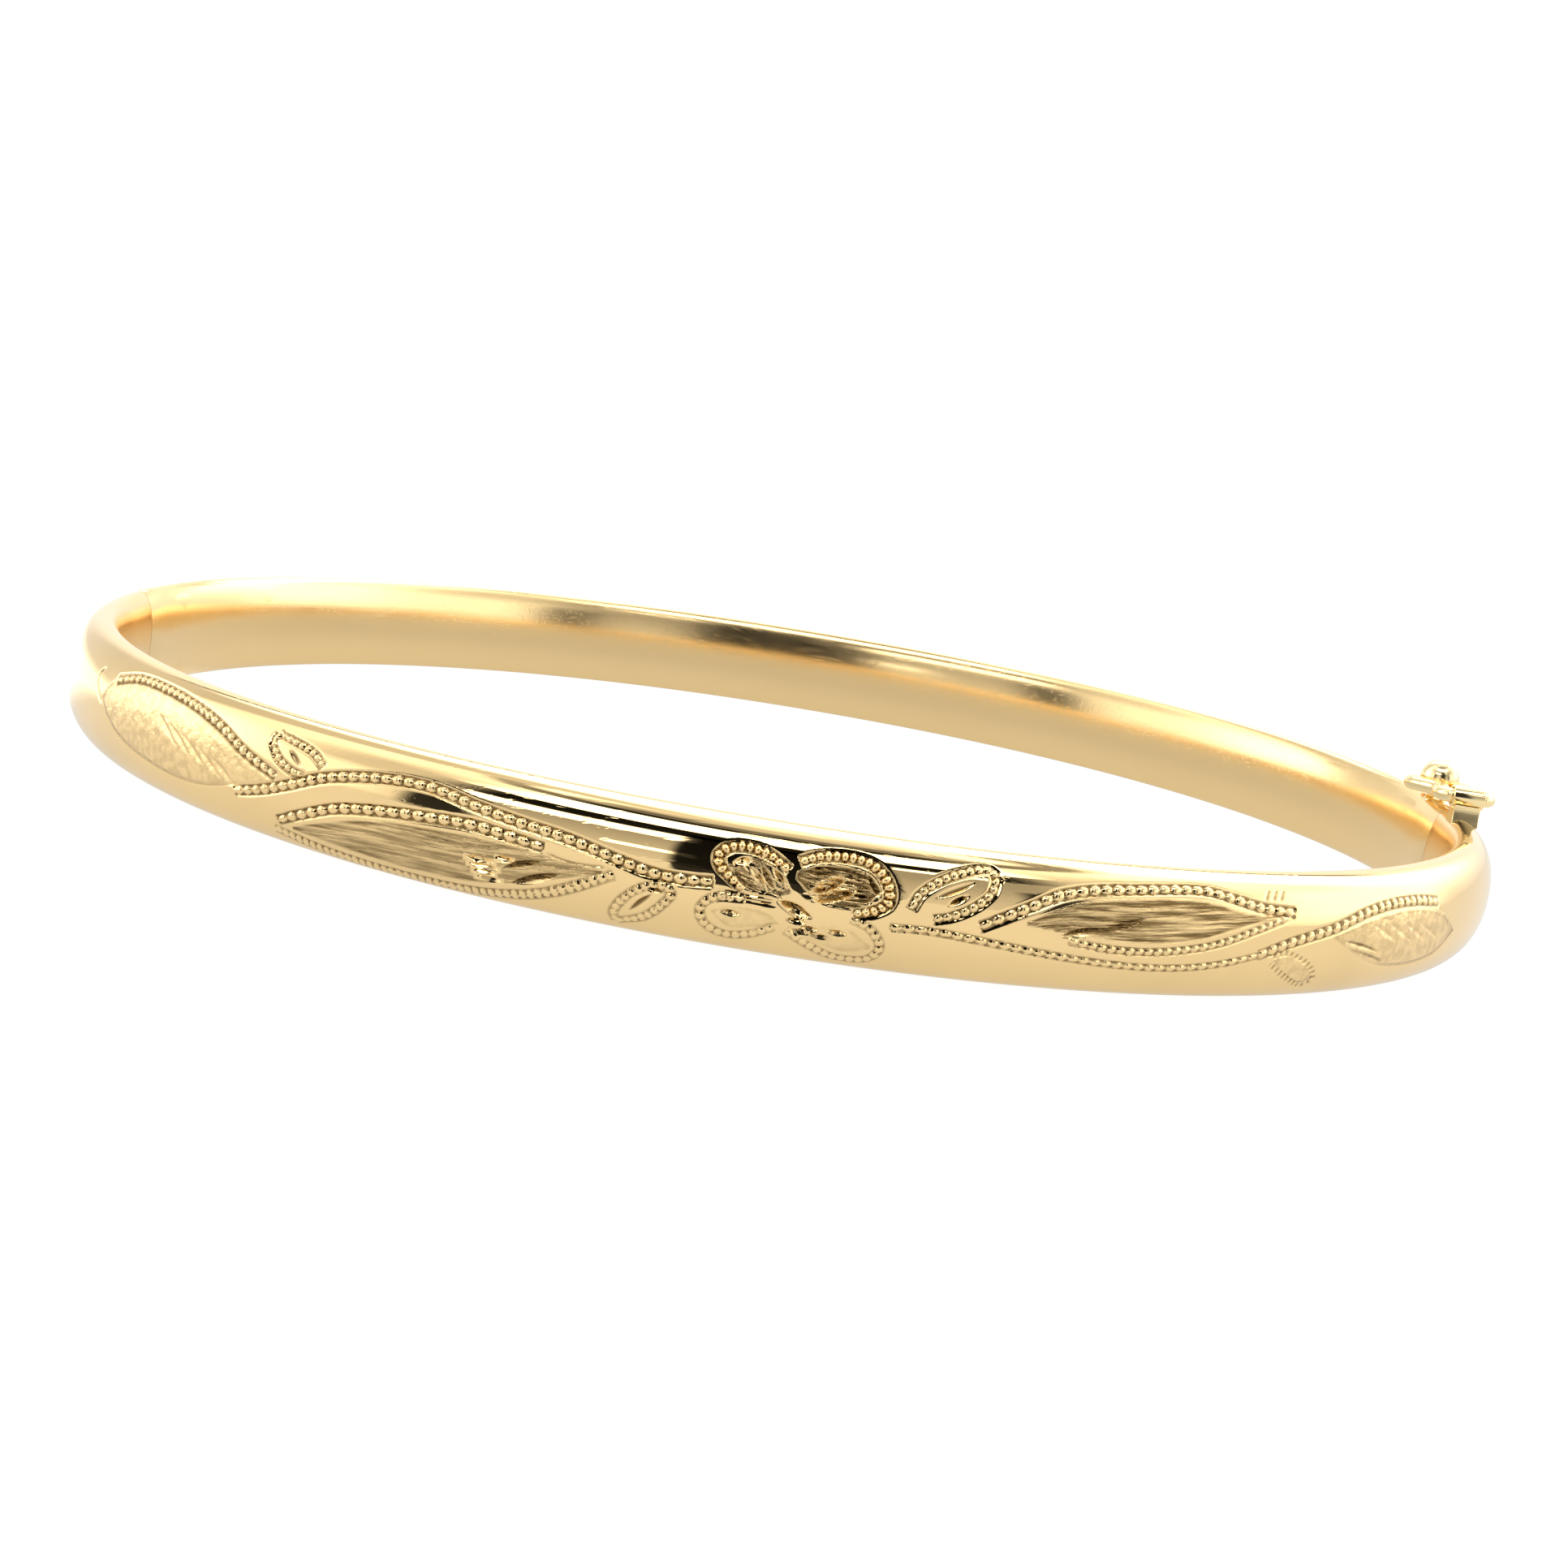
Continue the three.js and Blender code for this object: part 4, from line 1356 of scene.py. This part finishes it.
    def build_knob(self) -> bpy.types.Object:
        """Turns the ball and its waisted post, flared where it is soldered to the rim."""
        low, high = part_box("safety_knob")
        radius, post = self.knob_radius, self.post_radius
        centre = Vector(((low.x + high.x) / 2, (low.y + high.y) / 2, high.z - radius))
        drop = self.form.height - centre.z
        profile = [(0.0, drop - 0.5 * MM), (post + 0.16 * MM, drop - 0.5 * MM),
                   (post + 0.12 * MM, drop - 0.08 * MM),
                   (post + 0.05 * MM, drop + 0.02 * MM), (post, drop + 0.1 * MM)]
        joint = -math.acos(post / radius)
        for step in range(33):
            turn = joint + (0.5 * math.pi - joint) * step / 32
            profile.append((radius * math.cos(turn) if step < 32 else 0.0, radius * math.sin(turn)))
        piece = Bench.turned("catch_ball", profile, Vector((0, 0, 1)), centre, sharp=60.0)
        return self.bench.deliver(piece, Body.BACK, Slot.WIRE, "safety_knob")


# ---------------------------------------------------------------------------------------------
# Studio
# ---------------------------------------------------------------------------------------------


@dataclass(frozen=True)
class TentZone:
    """A soft-edged part of the tent with its own brightness by elevation.

    All angles are in degrees. Azimuths are 0 in front and grow towards the clasp.
    """

    across: Point2
    upright: Point2
    soft: float
    stops: tuple[Point2, ...]


@dataclass
class Studio:
    """White tent with soft dark gaps, a pale floor and the camera."""

    BRIGHTEST = 4.0
    ALL_HEIGHTS = (-100.0, 100.0)
    FRONT = ((0, 0.75), (12, 0.62), (28, 0.42), (37, 0.4), (38.5, 0.01), (48.5, 0.01), (49.5, 3.8), (64, 3.8),
             (65, 0.02), (70, 0.03), (72, 0.3), (74, 0.12), (77, 0.3), (80, 0.75), (90, 0.9))
    SHOULDER = ((0, 0.95), (5, 1.5), (24, 1.5), (32, 0.85), (48, 0.8), (58, 1.3), (64, 1.6), (66, 0.3),
                (70, 0.2),
                (73, 0.7), (76, 0.4), (80, 0.8), (90, 0.9))
    BEHIND = ((0, 1.1), (27, 1.3), (28.5, 0.25), (31, 0.25), (33, 3.3), (66, 3.3), (76, 2.0), (90, 1.2))
    ZONES = (
        TentZone((-180.0, -52.0), ALL_HEIGHTS, 9.0, SHOULDER),
        TentZone((47.0, 180.0), ALL_HEIGHTS, 9.0, SHOULDER),
        TentZone((-180.0, -82.0), ALL_HEIGHTS, 14.0,
                 ((0, 2.2), (12, 2.8), (28, 2.2), (40, 1.45), (58, 1.7), (66, 1.5), (68, 0.5), (70, 0.5),
                  (73, 2.6),
                  (80, 1.2), (90, 0.9))),
        TentZone((84.0, 180.0), ALL_HEIGHTS, 14.0,
                 ((0, 1.4), (10, 2.2), (30, 2.2), (40, 1.7), (62, 2.2), (66, 0.4), (69, 0.4), (73, 2.6),
                  (80, 1.2),
                  (90, 0.9))),
        TentZone((-180.0, -116.0), ALL_HEIGHTS, 5.0,
                 ((0, 1.5), (4, 0.9), (20, 0.8), (40, 0.75), (60, 0.8), (90, 0.9))),
        TentZone((120.0, 180.0), ALL_HEIGHTS, 8.0,
                 ((0, 0.9), (8, 1.3), (18, 2.4), (35, 3.2), (60, 3.2), (66, 0.4), (69, 0.4), (73, 2.5),
                  (80, 1.1),
                  (90, 0.9))),
        TentZone((-46.0, -9.0), (29.0, 37.0), 0.8, ((0, 3.5), (90, 3.5))),
        TentZone((-20.0, -8.0), (9.5, 12.5), 0.6, ((0, 3.2), (90, 3.2))),
        TentZone((19.0, 36.0), (37.5, 41.0), 0.6, ((0, 3.2), (90, 3.2))),
    )
    SIDE_GAPS = ((-49.5, -38.5), (36.0, 46.5))

    camera_place: tuple[float, float, float] = (2.142 * MM, -103.473 * MM, 20.534 * MM)
    azimuth: float = math.radians(1.03)
    elevation: float = math.radians(10.86)
    roll: float = math.radians(9.287)
    lens: float = 51.2
    floor_half: float = 3.0
    shelter: Point2 = (31.0 * MM, 28.0 * MM)
    floor_tone: tuple[float, float, float] = (0.72, 0.71, 0.69)
    floor_seen: float = 1.2
    floor_glow: Point2 = (0.5, 0.86)
    hinge_glow: float = 1.15
    glow_share: float = 0.78
    wedge_front: float = -29.4 * MM
    wedge_sides: Point2 = (2.6 * MM, 5.0 * MM)
    wedge_spread: Point2 = (0.19, 0.33)
    wedge_depth: float = 0.97
    wedge_share: float = 0.215
    tent_colour: tuple[float, float, float] = (1.0, 0.985, 0.96)
    backdrop: float = 1.05
    middle_shade: float = 0.985
    gap_shade: float = 0.97

    def build(self) -> None:
        """Sets up the tent, the floor and the camera."""
        bpy.context.scene.view_settings.view_transform = "Standard"
        self.hang_tent()
        self.lay_floor()
        self.set_camera()

    def set_camera(self) -> None:
        """Puts the camera in place, rolled a little."""
        az, el = self.azimuth, self.elevation
        back = Vector((math.sin(az) * math.cos(el), -math.cos(az) * math.cos(el), math.sin(el)))
        right = Vector((math.cos(az), math.sin(az), 0.0))
        up = right.cross(-back)
        across = right * math.cos(self.roll) + up * math.sin(self.roll)
        above = up * math.cos(self.roll) - right * math.sin(self.roll)
        data = bpy.data.cameras.new("camera")
        data.sensor_width = 36.0
        data.lens = self.lens
        data.clip_start, data.clip_end = 0.005, 20.0
        camera = bpy.data.objects.new("camera", data)
        turn = Matrix((across, above, back)).transposed().to_4x4()
        camera.matrix_world = Matrix.Translation(Vector(self.camera_place)) @ turn
        bpy.context.scene.collection.objects.link(camera)
        bpy.context.scene.camera = camera

    def lay_floor(self) -> None:
        """Lays a matt floor that is white to the camera and has its own pattern of light for the gold.

        The gold sees it pale, brighter behind the hinge end, and dark in a wedge in front of the flower.
        """
        half = self.floor_half
        data = bpy.data.meshes.new("floor")
        data.from_pydata([(-half, -half, 0), (half, -half, 0), (half, half, 0), (-half, half, 0)], [],
                         [(0, 1, 2, 3)])
        floor = bpy.data.objects.new("floor", data)
        bpy.context.scene.collection.objects.link(floor)
        material = bpy.data.materials.new("Pale floor")
        material.use_nodes = True
        desk = NodeDesk(material.node_tree)
        material.node_tree.nodes.clear()
        matt = desk.add("ShaderNodeBsdfDiffuse")
        grain = desk.add("ShaderNodeTexNoise")
        grain.inputs["Scale"].default_value = 300.0
        warm = tuple(0.98 * v for v in self.floor_tone)
        desk.feed(matt.inputs["Color"], desk.blend(grain.outputs["Fac"], (*self.floor_tone, 1.0), (*warm, 1.0)))
        glow = desk.add("ShaderNodeEmission")
        seen = desk.add("ShaderNodeLightPath").outputs["Is Camera Ray"]
        place = desk.add("ShaderNodeSeparateXYZ")
        desk.feed(place.inputs[0], desk.add("ShaderNodeTexCoord").outputs["Object"])
        # Painted shade: the glow the gold sees is dimmer under and inside the band.
        out = desk.math("ADD", desk.math("POWER",
                                         desk.math("MULTIPLY", place.outputs[0], 1.0 / self.shelter[0]), 2.0),
                        desk.math("POWER", desk.math("MULTIPLY", place.outputs[1], 1.0 / self.shelter[1]), 2.0))
        pale = desk.remap(out, 0.4, 1.25, *self.floor_glow)
        beyond = desk.math("MULTIPLY", desk.remap(place.outputs[0], -29.0 * MM, -34.0 * MM),
                           desk.remap(place.outputs[1], -9.0 * MM, 1.0 * MM))
        pale = desk.math("MULTIPLY_ADD", beyond, self.hinge_glow, pale)
        ahead = desk.math("SUBTRACT", self.wedge_front, place.outputs[1])
        left = desk.math("MULTIPLY_ADD", ahead, self.wedge_spread[0],
                         desk.math("ADD", place.outputs[0], self.wedge_sides[0]))
        right = desk.math("SUBTRACT", desk.math("MULTIPLY_ADD", ahead, self.wedge_spread[1],
                                                self.wedge_sides[1]),
                          place.outputs[0])
        shade = desk.remap(ahead, 10.0 * MM, 12.5 * MM)
        for edge in (left, right):
            shade = desk.math("MULTIPLY", shade, desk.remap(edge, -0.5 * MM, 0.7 * MM))
        pale = desk.math("MULTIPLY", pale, desk.math("SUBTRACT", 1.0,
                                                     desk.math("MULTIPLY", shade, self.wedge_depth)))
        desk.feed(glow.inputs["Strength"], desk.math("MAXIMUM", desk.math("MULTIPLY", seen, self.floor_seen),
                                                     pale))
        mix = desk.add("ShaderNodeMixShader")
        desk.feed(mix.inputs[0], desk.math("MULTIPLY_ADD", shade, self.wedge_share, self.glow_share))
        desk.feed(mix.inputs[1], matt.outputs[0])
        desk.feed(mix.inputs[2], glow.outputs[0])
        desk.feed(desk.add("ShaderNodeOutputMaterial").inputs["Surface"], mix.outputs[0])
        data.materials.append(material)

    @staticmethod
    def ramp(desk: NodeDesk, value: bpy.types.NodeSocket, stops: tuple[Point2, ...]) -> bpy.types.NodeSocket:
        """Brightness at an elevation, from stops of (elevation in degrees, brightness).

        Args:
            desk: The world's desk.
            value: Elevation as a share of 90 degrees.
            stops: Elevation and brightness of each stop, up to BRIGHTEST.

        Returns:
            The brightness.
        """
        node = desk.add("ShaderNodeFloatCurve")
        curve = node.mapping.curves[0]
        for place, bright in stops[1:-1]:
            curve.points.new(place / 90.0, bright / Studio.BRIGHTEST)
        ends = (curve.points[0], curve.points[len(curve.points) - 1])
        for point, (place, bright) in zip(ends, (stops[0], stops[-1])):
            point.location = (place / 90.0, bright / Studio.BRIGHTEST)
        for point in curve.points:
            point.handle_type = "VECTOR"
        node.mapping.update()
        desk.feed(node.inputs["Value"], value)
        return desk.math("MULTIPLY", node.outputs[0], Studio.BRIGHTEST)

    def hang_tent(self) -> None:
        """Paints the tent: lamps and dark gaps in front, a banded glow behind and a dark gap in the middle."""
        world = bpy.data.worlds.new("tent")
        bpy.context.scene.world = world
        world.use_nodes = True
        desk = NodeDesk(world.node_tree)
        world.node_tree.nodes.clear()
        way = desk.add("ShaderNodeSeparateXYZ")
        desk.feed(way.inputs[0], desk.add("ShaderNodeTexCoord").outputs["Generated"])
        x, y, z = way.outputs
        rise = desk.math("DIVIDE", desk.math("ARCSINE", z), math.pi / 2)
        height = desk.math("MULTIPLY", rise, 90.0)
        side = desk.math("DEGREES", desk.math("ARCTAN2", x, desk.math("MULTIPLY", y, -1.0)))
        tent = self.ramp(desk, rise, self.FRONT)
        for zone in self.ZONES:
            share = self.patch(desk, side, height, zone.across, zone.upright, zone.soft)
            tent = self.over(desk, tent, share, self.ramp(desk, rise, zone.stops))
        behind = self.ramp(desk, rise, self.BEHIND)
        tent = self.over(desk, tent, desk.remap(desk.math("ABSOLUTE", side), 142.0, 156.0), behind)
        shade = self.patch(desk, side, height, (-11.0, 18.0), (-12.0, 42.0), 0.9)
        for across in self.SIDE_GAPS:
            gap = self.patch(desk, side, height, across, (1.0, 24.0), 2.0)
            shade = desk.math("MAXIMUM", shade, desk.math("MULTIPLY", gap, self.gap_shade))
        tent = desk.math("MULTIPLY", tent, desk.math("SUBTRACT", 1.0,
                                                     desk.math("MULTIPLY", shade, self.middle_shade)))
        light = desk.add("ShaderNodeBackground")
        desk.feed(light.inputs["Strength"], tent)
        clear = desk.add("ShaderNodeBackground")
        clear.inputs["Color"].default_value = (1.0, 1.0, 1.0, 1.0)
        clear.inputs["Strength"].default_value = self.backdrop
        light.inputs["Color"].default_value = (*self.tent_colour, 1.0)
        mix = desk.add("ShaderNodeMixShader")
        desk.feed(mix.inputs[0], desk.add("ShaderNodeLightPath").outputs["Is Camera Ray"])
        desk.feed(mix.inputs[1], light.outputs[0])
        desk.feed(mix.inputs[2], clear.outputs[0])
        desk.feed(desk.add("ShaderNodeOutputWorld").inputs["Surface"], mix.outputs[0])

    @staticmethod
    def over(desk: NodeDesk, below: bpy.types.NodeSocket, share: bpy.types.NodeSocket,
             above: bpy.types.NodeSocket) -> bpy.types.NodeSocket:
        """Lays one brightness over another by a share from 0 to 1."""
        return desk.math("MULTIPLY_ADD", desk.math("SUBTRACT", above, below), share, below)

    @staticmethod
    def patch(desk: NodeDesk, side: bpy.types.NodeSocket, height: bpy.types.NodeSocket, across: Point2,
              upright: Point2,
              soft: float) -> bpy.types.NodeSocket:
        """A soft-edged rectangle of the tent.

        Args:
            desk: The world's desk.
            side: Azimuth from the front in degrees.
            height: Elevation in degrees.
            across: Lowest and highest azimuth.
            upright: Lowest and highest elevation.
            soft: Width of the soft edge in degrees.

        Returns:
            1 inside and 0 outside.
        """
        inside = None
        for value, (low, high) in ((side, across), (height, upright)):
            for edge in (desk.remap(value, low - soft, low + soft),
                         desk.remap(value, high + soft, high - soft)):
                inside = edge if inside is None else desk.math("MULTIPLY", inside, edge)
        return inside


# ---------------------------------------------------------------------------------------------
# The whole bangle
# ---------------------------------------------------------------------------------------------


@dataclass
class Bangle:
    """All of the bangle's sub-assemblies."""

    bench: Bench
    form: BandForm

    def build(self) -> None:
        """Builds and dresses every piece."""
        EngravedHalf(self.form, self.bench).build()
        PlainHalf(self.form, self.bench).build()
        CarriedParts(self.bench).dress()
        ThumbButton(self.bench).build()
        SafetyCatch(self.bench, self.form).build()


def main() -> None:
    """Builds the studio and the bangle."""
    logging.basicConfig(level=logging.INFO, format="%(name)s: %(message)s")
    Studio().build()
    Bangle(Bench(FinishShelf()), BandForm.from_frame()).build()


if __name__ == "__main__":
    main()
